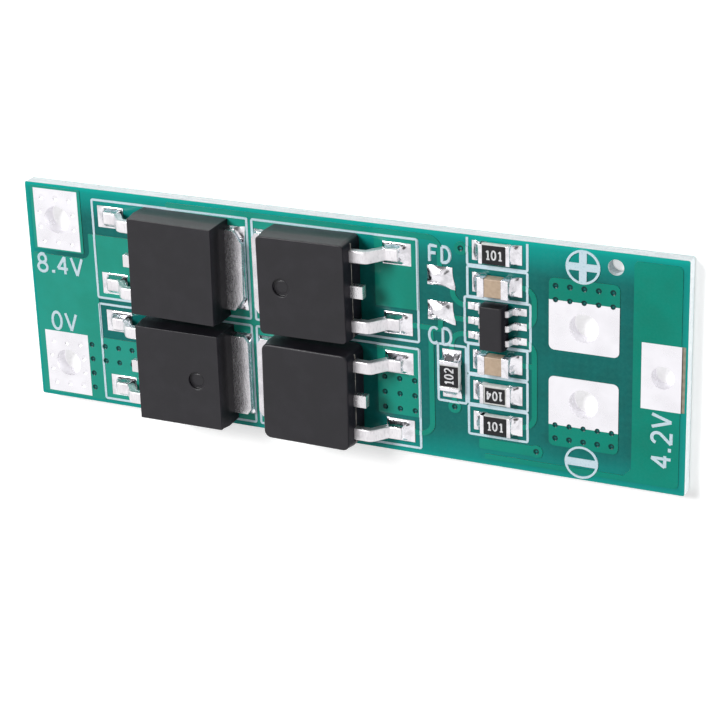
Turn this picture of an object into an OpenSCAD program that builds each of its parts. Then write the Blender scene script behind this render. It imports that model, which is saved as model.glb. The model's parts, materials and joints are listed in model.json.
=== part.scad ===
// Protection and balancing board for a pack of two lithium cells in series.
// The board lies flat: X along its length, Y across it, Z up, parts on top.

/* [Laminate] */
// Thickness of the glass-epoxy core
core_t = 0.87; // [0.6:0.01:1.6]
// Thickness of the copper foil on each side
copper_t = 0.04; // [0.03:0.005:0.1]
// Thickness of the solder mask film
mask_t = 0.025; // [0.02:0.005:0.05]
// Copper kept back from the board edge
edge_clear = 0.2; // [0.1:0.05:0.3]
// Corner radius of the board
board_r = 0.12; // [0.06:0.02:0.4]
// Corner radius of a copper area
pour_r = 0.3; // [0.1:0.05:0.4]
// Width of a signal track
track_w = 0.34; // [0.2:0.02:0.4]
// Radius of a track's bend
bend_r = 0.5; // [0.3:0.05:0.6]
// Radius of a wide bend
wide_bend_r = 0.8; // [0.5:0.05:0.9]

/* [Printed outlines] */
// Thickness of the white ink
ink_t = 0.02; // [0.01:0.005:0.04]
// Width of a printed line
ink_w = 0.15; // [0.1:0.01:0.2]
// Corner radius of a printed frame
ink_r = 0.18; // [0.16:0.02:0.3]

/* [Layout along the board] */
// Board edge to the charge lands
charge_margin = 0.6; // [0.5:0.05:1.5]
// Charge lands to the transistor frames
charge_gap = 1.1; // [1.05:0.05:2]
// Between the two transistor columns
column_gap = 0.36; // [0.3:0.02:1]
// Transistor frames to the test pads
test_gap = 0.65; // [0.6:0.05:1.5]
// Test pads to the chip column
chip_gap = 0.97; // [0.9:0.05:1.5]
// Chip column to the battery lands
battery_gap = 1.38; // [1.3:0.02:2.5]
// Battery lands to the balance land
balance_gap = 1.38; // [1.3:0.02:2.5]
// Balance land to the board edge
balance_margin = 0.35; // [0.3:0.05:1]

/* [Layout across the board] */
// Board edge to the upper transistor frame
upper_margin = 0.7; // [0.65:0.05:1.5]
// Between the two transistor rows
row_gap = 0.46; // [0.3:0.02:1]
// Lower transistor frame to the board edge
lower_margin = 0.38; // [0.3:0.02:1.5]
// Board edge to the first chip's land
chip_margin = 0.3; // [0.2:0.05:0.5]
// Shift of the second transistor along the board
row_shift = 0.12; // [0:0.01:0.15]

/* [Terminal lands] */
// Thickness of the tin on a land
tin_t = 0.03; // [0.02:0.005:0.1]
// Thickness of the plating in a hole
plating_t = 0.05; // [0.02:0.01:0.1]
// Radius of the charge and battery wire holes
wire_r = 0.92; // [0.5:0.02:1]
// Length of a charge land
charge_l = 3.3; // [3.1:0.05:4]
// Width of the positive charge land
charge_pos_w = 4.12; // [4:0.02:4.4]
// Width of the negative charge land
charge_neg_w = 4.36; // [4:0.02:4.6]
// Charge lands to the long edges
charge_edge = 0.34; // [0.25:0.01:0.6]
// Length of a battery land
battery_l = 4.43; // [4.3:0.01:5]
// Width of a battery land
battery_w = 3.2; // [3:0.05:3.4]
// Half the gap between the battery lands
battery_half_gap = 0.86; // [0.5:0.02:1]
// Corner radius of a battery land
battery_r = 0.35; // [0.1:0.05:0.5]
// Masked copper beyond a battery land
battery_neck = 1.4; // [1.3:0.05:1.5]
// Length of the balance land
balance_l = 2.47; // [2.2:0.01:3]
// Width of the balance land
balance_w = 4.23; // [3:0.01:6]
// Radius of the balance wire hole
balance_r = 0.72; // [0.4:0.02:0.9]
// Bare laminate left by the mask beyond the balance land
bare_strip = 0.22; // [0.1:0.02:0.24]
// Radius of the tooling hole
tooling_r = 0.5; // [0.3:0.05:0.6]
// Tooling hole to the upper edge
tooling_edge = 0.95; // [0.8:0.05:1.2]
// Tooling hole to the middle of the battery lands, along the board
tooling_off = 1.93; // [1.7:0.01:2.1]
// Balance wire hole to the middle of its land, along the board
balance_off = 0.1; // [0:0.02:0.2]
// Bare ring round a wire hole on the underside
back_ring = 0.55; // [0.3:0.05:0.7]

/* [Copper areas] */
// Corner radius of a small copper area
small_r = 0.1; // [0.06:0.02:0.16]
// Copper of the positive charge land beyond the land
land_rim = 0.22; // [0.1:0.02:0.25]
// Gap between that copper and the output area
land_gap = 0.42; // [0.3:0.02:0.6]
// Corner radius of that gap
land_gap_r = 0.6; // [0.3:0.05:0.8]
// Gap between a gate land and the source area, by the charge lands
gate_gap = 0.6; // [0.3:0.05:0.7]
// The same gap, by the test pads
gate_gap_2 = 0.3; // [0.2:0.05:0.7]
// Body to the source area's inner edge
source_from_body = 0.95; // [0.3:0.05:1.1]
// Source area beyond the tip land, in the column by the test pads
source_rim = 0.42; // [0.3:0.02:0.5]
// Source area below a printed frame
source_below = 0.1; // [0.04:0.02:0.2]
// Drain area behind the die pad
drain_rim = 0.35; // [0.2:0.05:0.5]
// Drain area inside the long sides of a printed frame
drain_inset = 0.04; // [0:0.02:0.2]
// Balance area beyond its land, towards the battery lands
balance_rim = 0.53; // [0.4:0.01:0.6]
// Balance area to the edges of the board
balance_clear = 0.4; // [0.3:0.05:0.5]
// Width of the strip that leads from the balance area
balance_strip_w = 0.35; // [0.3:0.05:0.5]
// Corner cut where that strip joins the balance area
balance_cut = 0.5; // [0.3:0.05:0.8]
// Start of that strip to the middle of the chip column
balance_strip_from = 0.9; // [0.5:0.1:1.5]
// Width of the area below the chip column
column_area_w = 0.7; // [0.5:0.05:0.8]
// Start of that area to the middle of the chip column
column_area_from = 1.25; // [1:0.05:1.5]
// Middle of the supply track to the upper edge
supply_edge = 0.46; // [0.4:0.02:0.5]
// Printed frames of the chips to the middle of the track beside them
side_track_gap = 0.45; // [0.4:0.01:0.5]
// Gap between the copper areas of the underside
under_gap = 0.4; // [0.3:0.05:0.6]
// Length of the underside's area round the balance hole
under_end = 3.2; // [3:0.1:3.4]
// Copper kept back from the tooling hole
tooling_clear = 0.3; // [0.2:0.05:0.4]

/* [Vias] */
// Radius of a via's hole
via_r = 0.16; // [0.12:0.01:0.18]
// Spacing of the vias in a field
via_pitch = 1.02; // [0.9:0.01:1.04]
// Spacing of the vias beside a battery land
battery_via_pitch = 0.9; // [0.8:0.01:0.92]
// Thickness of the plating in a via
via_wall = 0.05; // [0.02:0.01:0.06]
// Charge land's edge to the vias along its sides
land_via_in = 0.4; // [0.35:0.05:0.5]
// Half the spacing of the two vias at each side
land_via_side = 0.5; // [0.45:0.05:0.6]
// Middle of a charge land to the vias above and below
land_via_rise = 1.48; // [1.4:0.02:1.6]
// Top row of the vias beside the fourth transistor, above its middle
source_field_rise = 1.2; // [1:0.05:1.3]
// Spacing of the vias above and below a wire hole
land_via_pitch = 1.04; // [0.95:0.01:1.1]
// Reach of the dent over a filled via beyond the via's edge
dent_over = 0.03; // [0.01:0.01:0.03]
// Depth of the dent
dent_depth = 0.06; // [0.04:0.01:0.06]
// Depth of the solder or the film in a filled via
plug_depth = 0.2; // [0.15:0.05:0.5]
// Battery land to the outer row of vias
via_neck = 0.9; // [0.8:0.05:0.95]
// Charge land to the via field beside it
field_gap = 0.28; // [0.26:0.02:0.4]
// Top row of that field above the middle of the land
field_rise = 1.56; // [1.4:0.02:1.7]
// Via field of the fourth transistor to its printed frame
source_field_in = 0.34; // [0.3:0.02:0.5]
// Radius of the copper round a lone via
lone_ring = 0.42; // [0.35:0.01:0.45]
// Upper lone via to the first chip's land
upper_via_gap = 0.75; // [0.6:0.05:0.8]
// Lone via below the upright resistor's land
upright_via_gap = 0.6; // [0.5:0.05:0.7]
// Its shift towards the chip column
upright_via_shift = 0.14; // [0:0.02:0.2]
// Lone via below the chip column to the middle of the column
column_via_x = 2.5; // [2.3:0.1:2.6]
// Its drop below the last chip
column_via_drop = 1.5; // [1.4:0.05:1.6]

/* [Power transistor] */
// Body length, from the lead side to the tab side
fet_l = 6.1; // [5.9:0.05:6.3]
// Body width
fet_w = 6.6; // [6.3:0.05:6.8]
// Body height
fet_h = 2.3; // [2.1:0.05:2.5]
// Taper of each upper side wall
fet_draft = 0.12; // [0.05:0.01:0.2]
// Taper of each lower side wall
fet_under = 0.05; // [0.02:0.01:0.1]
// Height of the flash along the parting line
fet_flash = 0.1; // [0.06:0.02:0.2]
// Depth of the flash
fet_step = 0.03; // [0.02:0.01:0.06]
// Corner radius of the rounded body
fet_r = 0.8; // [0.6:0.05:1.1]
// Diameter of the ejector mark
ejector_d = 1.15; // [0.8:0.05:1.4]
// Depth of the ejector mark
ejector_depth = 0.12; // [0.05:0.01:0.2]
// Ejector mark to the middle of the body, towards the tab
ejector_x = 1.35; // [0.8:0.05:1.8]
// Thickness of the lead frame
frame_t = 0.5; // [0.45:0.01:0.55]
// Width of the drain tab
tab_w = 5.35; // [5.2:0.05:5.5]
// Length of the tab outside the body
tab_out = 1.15; // [0.9:0.05:1.25]
// Length of the die pad inside the body
pad_in = 4.55; // [4:0.05:4.8]
// Corner cut of the first transistor's tab, along the tab's length
tab_cut = 0.6; // [0.3:0.05:0.8]
// The same cut, across the tab
tab_cut_w = 0.84; // [0.5:0.02:1]
// Corner cut of the other tabs, along their length
tab_nick = 0.25; // [0.1:0.05:0.5]
// The same cut, across the tab
tab_nick_w = 0.35; // [0.1:0.05:0.5]
// Distance between the two outer leads
lead_span = 4.572; // [4.4:0.002:4.7]
// Width of a lead
lead_w = 0.8; // [0.6:0.02:0.9]
// Length of a lead outside the body
lead_out = 2.75; // [2.6:0.05:2.9]
// Level stretch of a lead at the body
lead_level = 1; // [0.7:0.05:1.1]
// Sloping stretch of a lead
lead_slope = 0.8; // [0.6:0.05:0.9]
// Height of a lead's middle where it leaves the body
lead_z = 1.3; // [1.1:0.05:1.5]
// Length of the cropped middle lead outside the body
stub_out = 0.8; // [0.6:0.05:0.9]
// Run over which the middle lead rises from the die pad
stub_slope = 0.75; // [0.7:0.05:0.9]
// Overlap of the middle lead and the die pad
stub_root = 0.4; // [0.3:0.05:0.6]
// Length of a lead held inside the body
lead_hold = 0.7; // [0.4:0.05:0.8]
// Bend radius of a lead, at the middle of its thickness
lead_bend = 0.35; // [0.3:0.05:0.4]
// Turn of the first transistor on its lands, in degrees
skew_1 = -0.9; // [-1.5:0.1:1.5]
// Turn of the third transistor on its lands, in degrees
skew_3 = 0.4; // [-1.5:0.1:1.5]
// Turn of the fourth transistor on its lands, in degrees
skew_4 = -0.8; // [-1.5:0.1:1.5]

/* [Transistor lands] */
// Land beyond the tip of a lead
toe_l = 0.65; // [0.4:0.05:0.8]
// Land behind the foot of a lead
heel_l = 0.3; // [0.15:0.05:0.4]
// Land beside a lead
lead_side = 0.33; // [0.2:0.01:0.4]
// Land beyond the tab
tab_rim = 0.08; // [0.05:0.01:0.09]
// Land beside the tab
tab_side = 0.15; // [0.1:0.01:0.2]
// Tip land to the printed frame
frame_lead_clear = 0.4; // [0.3:0.02:0.6]
// Tab to the printed frame
frame_tab_clear = 0.2; // [0.19:0.01:0.4]
// Body to the printed frame
frame_side_clear = 0.065; // [0.03:0.005:0.3]

/* [Chips] */
// Length of a chip resistor or capacitor
chip_l = 2; // [1.9:0.05:2.1]
// Width of a chip resistor or capacitor
chip_w = 1.25; // [1.15:0.05:1.3]
// Height of a chip resistor
resistor_h = 0.5; // [0.4:0.05:0.6]
// Height of a chip capacitor
capacitor_h = 0.8; // [0.6:0.05:1.2]
// Thickness of the metal on a chip's ends
cap_t = 0.04; // [0.02:0.01:0.06]
// Length of a resistor's end metal on top
resistor_cap_l = 0.25; // [0.2:0.01:0.35]
// Length of a capacitor's end metal
capacitor_cap_l = 0.45; // [0.3:0.01:0.55]
// Thickness of a resistor's black coating
coat_t = 0.05; // [0.03:0.005:0.08]
// Length of the coating
coat_l = 1.5; // [1.2:0.02:1.52]
// Width of the coating
coat_w = 1.2; // [0.9:0.05:1.25]
// Length of the second resistor's coating
coat_2_l = 1.3; // [1.2:0.02:1.5]
// Width of the second resistor's coating
coat_2_w = 1; // [0.9:0.05:1.25]
// Length of the fourth resistor's coating
coat_4_l = 1.36; // [1.2:0.02:1.5]
// Distance over both lands of a chip
chip_span = 3.2; // [3:0.05:3.4]
// Length of one chip land
chip_land_l = 0.95; // [0.9:0.01:1.05]
// Land to the printed frame, along the chip
frame_chip_clear = 0.33; // [0.2:0.01:0.5]
// Land to the printed frame, across the chip
frame_chip_side = 0.395; // [0.25:0.005:0.5]
// Overlap of the printed frames of neighbouring chips, from line to line
frame_share = 0.11; // [0:0.01:0.14]
// The first chip's printed frame stays open above this depth
frame_open = 0.25; // [0.1:0.05:0.4]
// Width of the printed frame of the upright resistor
upright_w = 1.86; // [1.8:0.02:2]
// Length of the printed frame of the upright resistor
upright_l = 3.76; // [3.6:0.02:3.9]
// Upright resistor above the fourth chip of the column
upright_rise = 0.85; // [0.5:0.05:1]
// Room for a printed label below the chip column
label_zone = 1.8; // [1.5:0.1:2.5]

/* [Protection chip] */
// Length of the body along the rows of leads
ic_w = 2.9; // [2.8:0.05:3]
// Width of the body between the rows
ic_l = 1.6; // [1.5:0.05:1.7]
// Height of the body
ic_h = 1.05; // [0.9:0.05:1.2]
// Taper of each upper side wall
ic_draft = 0.08; // [0.04:0.01:0.12]
// Taper of each lower side wall
ic_under = 0.04; // [0.02:0.01:0.08]
// Length of a lead held inside the body
ic_hold = 0.3; // [0.2:0.05:0.4]
// Distance over the tips of the leads
ic_span = 2.8; // [2.7:0.05:2.9]
// Spacing of the leads
ic_pitch = 0.95; // [0.93:0.01:1]
// Width of a lead
ic_lead_w = 0.4; // [0.3:0.02:0.45]
// Thickness of a lead
ic_lead_t = 0.15; // [0.1:0.01:0.2]
// Level of a lead's middle where it leaves the body
ic_lead_z = 0.6; // [0.5:0.02:0.7]
// Length of a lead's foot
ic_foot = 0.36; // [0.25:0.01:0.4]
// Level stretch of a lead at the body
ic_lead_level = 0.12; // [0.1:0.01:0.14]
// Bend radius of a lead, at the middle of its thickness
ic_bend = 0.12; // [0.09:0.01:0.14]
// Distance over both rows of lands
ic_land_span = 3.8; // [3.7:0.05:3.9]
// Length of a land
ic_land_l = 0.8; // [0.7:0.05:0.95]
// Width of a land
ic_land_w = 0.46; // [0.44:0.02:0.56]
// Land to the printed frame, beyond each row
ic_frame_end = 0.225; // [0.15:0.005:0.3]
// Land to the printed frame, along the rows
ic_frame_side = 0.32; // [0.2:0.01:0.4]
// Solder behind the foot of a lead
ic_heel = 0.2; // [0.1:0.05:0.25]
// Gap under the body
ic_standoff = 0.08; // [0.04:0.01:0.12]

/* [Test pads] */
// Length of a test pad
test_l = 1.65; // [1.5:0.05:1.8]
// Width of a test pad
test_w = 1.25; // [1:0.05:1.4]
// Height of the solder on a test pad
test_h = 0.28; // [0.1:0.02:0.3]
// Reach of the solder that runs out on a pad's track
test_tail = 0.5; // [0.2:0.05:0.6]
// Distance between the two test pads
test_pitch = 2.28; // [2.1:0.02:2.5]
// Upper test pad above the middle of the protection chip
test_rise = 2.62; // [2.4:0.02:2.8]

/* [Solder] */
// Solder under a part
solder_t = 0.05; // [0.03:0.005:0.08]
// Rise of the solder at a transistor lead
lead_rise = 0.36; // [0.2:0.02:0.44]
// Rise of the solder at a chip's end
chip_rise = 0.4; // [0.2:0.02:0.42]
// Rise of the solder at a chip lead
ic_rise = 0.12; // [0.08:0.01:0.14]

/* [Hidden] */
$fn = 48;

// Small amount by which a cutting shape passes a face
cut = 0.1;

// Overlap of a straight leg and the bend it runs into
lap = 0.0003;

// Levels, from the underside up
z_core = mask_t + copper_t;
z_front = z_core + core_t;
z_copper = z_front + copper_t;
z_top = z_copper + mask_t;
z_seat = z_copper + solder_t;

// Sizes of the printed frames, from what each one holds
fet_frame_l = frame_lead_clear + toe_l + lead_out + fet_l + tab_out + frame_tab_clear;
fet_frame_w = fet_w + 2 * frame_side_clear;
chip_frame_l = chip_span + 2 * frame_chip_clear;
chip_frame_w = chip_w + 2 * frame_chip_side;
ic_frame_l = ic_land_span + 2 * ic_frame_end;
ic_frame_w = 2 * ic_pitch + ic_land_w + 2 * ic_frame_side;

// Board length, as the chain of what stands along it
x_charge = charge_margin + charge_l;
x_frames = x_charge + charge_gap;
x_test = x_frames + 2 * fet_frame_l + column_gap + test_gap;
x_chips = x_test + test_l + chip_gap;
x_battery = x_chips + chip_frame_l + battery_gap;
x_balance = x_battery + battery_l + balance_gap;
board_l = x_balance + balance_l + balance_margin;

// Board width, as the larger of the transistor rows and the chip column
rows_w = upper_margin + 2 * fet_frame_w + row_gap + lower_margin;
column_w = chip_margin + chip_w + frame_chip_side + 4 * chip_frame_w + ic_frame_w + label_zone;
board_w = max(rows_w, column_w);
left = -board_l / 2;
right = board_l / 2;
upper = board_w / 2;
lower = -board_w / 2;

// Middles of the columns
charge_x = left + charge_margin + charge_l / 2;
frame_x = [
  left + x_frames + fet_frame_l / 2,
  left + x_frames + fet_frame_l * 1.5 + column_gap
];
test_x = left + x_test + test_l / 2;
chips_x = left + x_chips + chip_frame_l / 2;
battery_x = left + x_battery + battery_l / 2;
balance_x = left + x_balance + balance_l / 2;

// Middles of the rows
charge_pos_y = upper - charge_edge - charge_pos_w / 2;
charge_neg_y = lower + charge_edge + charge_neg_w / 2;
frame_y = [
  upper - upper_margin - fet_frame_w / 2,
  upper - upper_margin - fet_frame_w * 1.5 - row_gap
];
battery_y = battery_half_gap + battery_w / 2;
tooling_x = battery_x + tooling_off;
balance_hole_x = balance_x + balance_off;
tooling_y = upper - tooling_edge;

// Transistors: column, row and turn of each
fet_column = [0, 0, 1, 1];
fet_row = [0, 1, 0, 1];
fet_turn = [0, 0, 180, 180];
fet_shift = [0, row_shift, 0, 0];
fet_rounded = [false, false, true, true];
fet_marked = [false, true, true, false];
fet_skew = [skew_1, 0, skew_3, skew_4];
tab_small = [tab_nick, tab_nick_w];
fet_cut = [[tab_cut, tab_cut_w], tab_small, tab_small, tab_small];
fet_shift_x = fet_frame_l / 2 - frame_tab_clear - tab_out - fet_l / 2;

// Chips of the column, from the upper edge down, and the upright resistor
chip_y1 = upper - chip_margin - chip_w / 2;
chip_y2 = chip_y1 - chip_frame_w;
ic_y = chip_y2 - chip_frame_w / 2 - ic_frame_w / 2;
chip_y3 = ic_y - ic_frame_w / 2 - chip_frame_w / 2;
chip_y4 = chip_y3 - chip_frame_w;
chip_y5 = chip_y4 - chip_frame_w;
upright_x = chips_x - chip_frame_l / 2 - ink_w - upright_w / 2;
upright_y = chip_y4 + upright_rise;
column_y = [chip_y1, chip_y2, chip_y3, chip_y4, chip_y5];
resistor_at = [
  [chips_x, chip_y1, 0],
  [chips_x, chip_y4, 180],
  [chips_x, chip_y5, 0],
  [upright_x, upright_y, 90]
];
capacitor_at = [
  [chips_x, chip_y2, 0],
  [chips_x, chip_y3, 0]
];
coat_size = [
  [coat_l, coat_w],
  [coat_2_l, coat_2_w],
  [coat_l, coat_w],
  [coat_4_l, coat_w]
];
test_y1 = ic_y + test_rise;
test_y2 = test_y1 - test_pitch;

// Lands of a transistor, in its own frame: leads towards -X, gate towards +Y
foot_x0 = -fet_l / 2 - lead_out;
foot_x1 = -fet_l / 2 - lead_level - lead_slope;
lead_land_l = toe_l + foot_x1 - foot_x0 + heel_l;
lead_land_x = (foot_x0 - toe_l + foot_x1 + heel_l) / 2;
lead_land_w = lead_w + 2 * lead_side;
pad_x0 = fet_l / 2 - pad_in;
pad_x1 = fet_l / 2 + tab_out;
tab_land_w = tab_w + 2 * tab_side;

// Vias
via_out = via_r + via_wall;
land_via_x = charge_l / 2 - land_via_in;
field_x = left + x_charge + field_gap;
field_y = charge_neg_y + field_rise;
source_field_x = frame_x[1] + fet_frame_l / 2 - source_field_in - 2 * via_pitch;
source_field_y = frame_y[1] + source_field_rise;
lone_vias = [
  [chips_x - chip_span / 2 - upper_via_gap, chip_y1],
  [upright_x + upright_via_shift, upright_y - chip_span / 2 - upright_via_gap],
  [chips_x + column_via_x, chip_y5 - column_via_drop]
];

// Levels across the board that several areas share
pour_low = lower + edge_clear;
pour_high = upper - edge_clear;
supply_y = upper - supply_edge;

function vias_round(x, y) = [
  for (i = [-1:1], j = [-1, 1]) [x + i * land_via_pitch, y + j * land_via_rise],
  for (i = [-1, 1], j = [-1, 1]) [x + i * land_via_x, y + j * land_via_side]
];

function via_field(x, y, nx, ny) = [
  for (i = [0:nx - 1], j = [0:ny - 1]) [x + i * via_pitch, y - j * via_pitch]
];

function via_row(y) = [
  for (i = [-2:2]) [battery_x + i * battery_via_pitch, y]
];

battery_edge_y = battery_y + battery_w / 2;
covered_vias = concat(
  vias_round(charge_x, charge_pos_y),
  vias_round(charge_x, charge_neg_y)
);
edge_vias = concat(via_row(battery_edge_y), via_row(-battery_edge_y));
open_vias = concat(
  edge_vias,
  via_row(battery_edge_y + via_neck),
  via_row(-battery_edge_y - via_neck),
  via_field(field_x, field_y, 4, 2),
  via_field(field_x, field_y - 2 * via_pitch, 1, 2),
  via_field(source_field_x, source_field_y, 3, 3),
  lone_vias
);
all_vias = concat(covered_vias, open_vias);

// ---------- flat helpers ----------

module block(x0, y0, x1, y1, r) {
  translate([x0 + r, y0]) square([x1 - x0 - 2 * r, y1 - y0]);
  translate([x0, y0 + r]) square([x1 - x0, y1 - y0 - 2 * r]);
  for (x = [x0 + r, x1 - r], y = [y0 + r, y1 - r]) translate([x, y]) circle(r);
}

module centred_block(x, y, l, w, r) {
  block(x - l / 2, y - w / 2, x + l / 2, y + w / 2, r);
}

module box_2d(x, y, l, w) {
  translate([x - l / 2, y - w / 2]) square([l, w]);
}

module dots(points, r) {
  for (p = points) translate(p) circle(r);
}

// Straight strip of width w from a to b
module strip(a, b, w) {
  d = b - a;
  translate(a) rotate(atan2(d[1], d[0])) translate([0, -w / 2]) square([norm(d), w]);
}

function unit(v) = v / norm(v);

function left_of(v) = [-v[1], v[0]];

// Angle turned at point i of the path p
function turned(p, i) = acos(unit(p[i] - p[i - 1]) * unit(p[i + 1] - p[i]));

// Distance from point i of the path to the start of its bend of radius r
function set_back(p, i, r) =
  i == 0 || i == len(p) - 1 ? 0 : r * tan(turned(p, i) / 2);

// Ends of the straight leg from point i of the path
function leg_start(p, i, r) = p[i] + set_back(p, i, r) * unit(p[i + 1] - p[i]);
function leg_end(p, i, r) = p[i + 1] - set_back(p, i + 1, r) * unit(p[i + 1] - p[i]);

// 1 where the path turns left at point i, -1 where it turns right
function turn_side(p, i) = sign((p[i + 1] - p[i]) * left_of(p[i] - p[i - 1]));

// Middle of the bend at point i of the path
function bend_middle(p, i, r) =
  leg_end(p, i - 1, r) + turn_side(p, i) * r * left_of(unit(p[i] - p[i - 1]));

// Strip of width w along the path p, with round bends of radius r on its middle line
module bent_strip(p, w, r) {
  for (i = [0:len(p) - 2]) strip(leg_start(p, i, r), leg_end(p, i, r), w);
  for (i = [1:1:len(p) - 2]) {
    c = bend_middle(p, i, r);
    from = leg_end(p, i - 1, r) - c;
    to = leg_start(p, i, r) - c;
    intersection() {
      translate(c) difference() {
        circle(r + w / 2);
        circle(r - w / 2);
      }
      polygon([c, c + 2 * from, c + 2 * (from + to), c + 2 * to]);
    }
  }
}

// Flat bar of thickness t and width w bent along the path p, standing on the path's plane
module bent_bar(p, t, w, r) {
  for (i = [0:len(p) - 2]) {
    d = lap * unit(p[i + 1] - p[i]);
    linear_extrude(w) strip(leg_start(p, i, r) - d, leg_end(p, i, r) + d, t);
  }
  for (i = [1:1:len(p) - 2]) {
    c = bend_middle(p, i, r);
    from = (turn_side(p, i) > 0 ? leg_end(p, i - 1, r) : leg_start(p, i, r)) - c;
    translate(c) rotate([0, 0, atan2(from[1], from[0])])
      rotate_extrude(angle = turned(p, i)) translate([r - t / 2, 0]) square([t, w]);
  }
}

// Track with round ends
module track(p, r = bend_r) {
  bent_strip(p, track_w, r);
  for (e = [p[0], p[len(p) - 1]]) translate(e) circle(track_w / 2);
}

// Hollow solder slope: flat from t0 to t1 at height h, falling to the land at x0 and x1
module solder_profile(x0, x1, t0, t1, h) {
  difference() {
    translate([x0, 0]) square([x1 - x0, h]);
    if (t0 > x0) slope_cut(x0, t0 - x0, h);
    if (x1 > t1) slope_cut(x1, x1 - t1, h);
  }
}

module slope_cut(x, run, h) {
  r = (run * run + h * h) / (2 * h);
  translate([x, r]) circle(r);
}

// Crowned profile of width w and height h
module crown_profile(w, h) {
  r = (w * w / 4 + h * h) / (2 * h);
  intersection() {
    translate([0, h - r]) circle(r);
    translate([-w / 2, 0]) square([w, h]);
  }
}

module along_y(w) {
  translate([0, w / 2, 0]) rotate([90, 0, 0]) linear_extrude(w) children();
}

// Bent bar of thickness t and width w whose path runs in X and Z
module standing_bar(p, t, w, r) {
  translate([0, w / 2, 0]) rotate([90, 0, 0]) bent_bar(p, t, w, r);
}

module along_x(l) {
  translate([-l / 2, 0, 0]) rotate([90, 0, 90]) linear_extrude(l) children();
}

module slab(z0, z1) {
  translate([0, 0, z0]) linear_extrude(z1 - z0) children();
}

// ---------- places ----------

module at_fet(i) {
  x = frame_x[fet_column[i]] + (fet_turn[i] == 0 ? 1 : -1) * fet_shift_x;
  translate([x + fet_shift[i], frame_y[fet_row[i]], 0])
    rotate([0, 0, fet_turn[i]]) children();
}

module at_chip(place) {
  translate([place[0], place[1], 0]) rotate([0, 0, place[2]]) children();
}

module each_chip() {
  for (place = concat(resistor_at, capacitor_at)) at_chip(place) children();
}

module at_ic() {
  translate([chips_x, ic_y, 0]) children();
}

// ---------- board layers, flat ----------

module board_2d() {
  block(left, lower, right, upper, board_r);
}

module wire_holes_2d(extra) {
  for (y = [charge_pos_y, charge_neg_y]) translate([charge_x, y]) circle(wire_r + extra);
  for (y = [battery_y, -battery_y]) translate([battery_x, y]) circle(wire_r + extra);
  translate([balance_hole_x, 0]) circle(balance_r + extra);
}

module charge_pos_2d() {
  box_2d(charge_x, charge_pos_y, charge_l, charge_pos_w);
}

module charge_neg_2d() {
  box_2d(charge_x, charge_neg_y, charge_l, charge_neg_w);
}

module battery_land_2d(side) {
  y0 = side * battery_half_gap;
  y1 = side * (battery_half_gap + battery_w);
  difference() {
    block(battery_x - battery_l / 2, min(y0, y1) - battery_r,
          battery_x + battery_l / 2, max(y0, y1) + battery_r, battery_r);
    box_2d(battery_x, y1 + side * battery_r, battery_l + cut, 2 * battery_r);
    box_2d(battery_x, y0 - side * battery_r, battery_l + cut, 2 * battery_r);
    difference() {
      box_2d(battery_x, y0 + side * battery_r / 2, battery_l + cut, battery_r);
      centred_block(battery_x, (y0 + y1) / 2, battery_l, battery_w, battery_r);
    }
  }
}

module balance_land_2d() {
  box_2d(balance_x, 0, balance_l, balance_w);
}

// Lands of one transistor
module fet_lands_2d() {
  for (s = [-1, 1]) box_2d(lead_land_x, s * lead_span / 2, lead_land_l, lead_land_w);
  translate([pad_x0, -tab_land_w / 2]) square([pad_x1 + tab_rim - pad_x0, tab_land_w]);
}

module chip_lands_2d() {
  for (s = [-1, 1]) box_2d(s * (chip_span - chip_land_l) / 2, 0, chip_land_l, chip_w);
}

module ic_lands_2d() {
  for (s = [-1, 1], k = [-1:1])
    box_2d(s * (ic_land_span - ic_land_l) / 2, k * ic_pitch, ic_land_l, ic_land_w);
}

// Test pad, with the start of its track left bare at the lower right corner
module test_pad_2d(y) {
  box_2d(test_x, y, test_l, test_w);
  corner = [test_x + test_l / 2 - track_w / 2, y - test_w / 2 + track_w / 2];
  strip(corner - [test_tail, -test_tail] / 2, corner + [test_tail, -test_tail] / 2, track_w);
}

module part_lands_2d() {
  for (i = [0:3]) at_fet(i) fet_lands_2d();
  each_chip() chip_lands_2d();
  at_ic() ic_lands_2d();
  test_pad_2d(test_y1);
  test_pad_2d(test_y2);
}

module mask_windows_2d() {
  charge_pos_2d();
  charge_neg_2d();
  battery_land_2d(1);
  battery_land_2d(-1);
  box_2d(balance_x + bare_strip / 2, 0, balance_l + bare_strip, balance_w);
  part_lands_2d();
}

// Large copper areas of the front
module power_pours_2d() {
  land_x = charge_l / 2 + land_rim;
  block(charge_x - land_x, charge_pos_y - charge_pos_w / 2 - small_r,
        charge_x + land_x, pour_high, small_r);
  output_pour_2d();
  for (i = [0, 1]) drain_pour_2d(i);
  for (i = [2, 3]) source_pour_2d(i, foot_x0 - toe_l - source_rim, gate_gap_2);
  for (s = [-1, 1]) {
    y = s * (battery_half_gap + (battery_w + battery_neck) / 2);
    centred_block(battery_x, y, battery_l, battery_w + battery_neck, battery_r);
  }
  balance_pour_2d();
}

// Output area: both sources and the negative charge land, clear of the positive one
module output_pour_2d() {
  gap_x = charge_x + charge_l / 2 + land_rim + land_gap;
  gap_y = charge_pos_y - charge_pos_w / 2 - land_gap;
  difference() {
    union() {
      block(left + edge_clear, pour_low, left + x_frames, gap_y, small_r);
      for (i = [0, 1])
        source_pour_2d(i, foot_x0 - toe_l - frame_lead_clear - charge_gap, gate_gap);
    }
    translate([left - cut, gap_y]) square([gap_x - left + cut, board_w]);
  }
  translate([gap_x - land_gap_r, gap_y]) difference() {
    square(land_gap_r + small_r);
    translate([0, land_gap_r]) circle(land_gap_r);
    translate([0, land_gap_r]) square(land_gap_r);
  }
}

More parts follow.
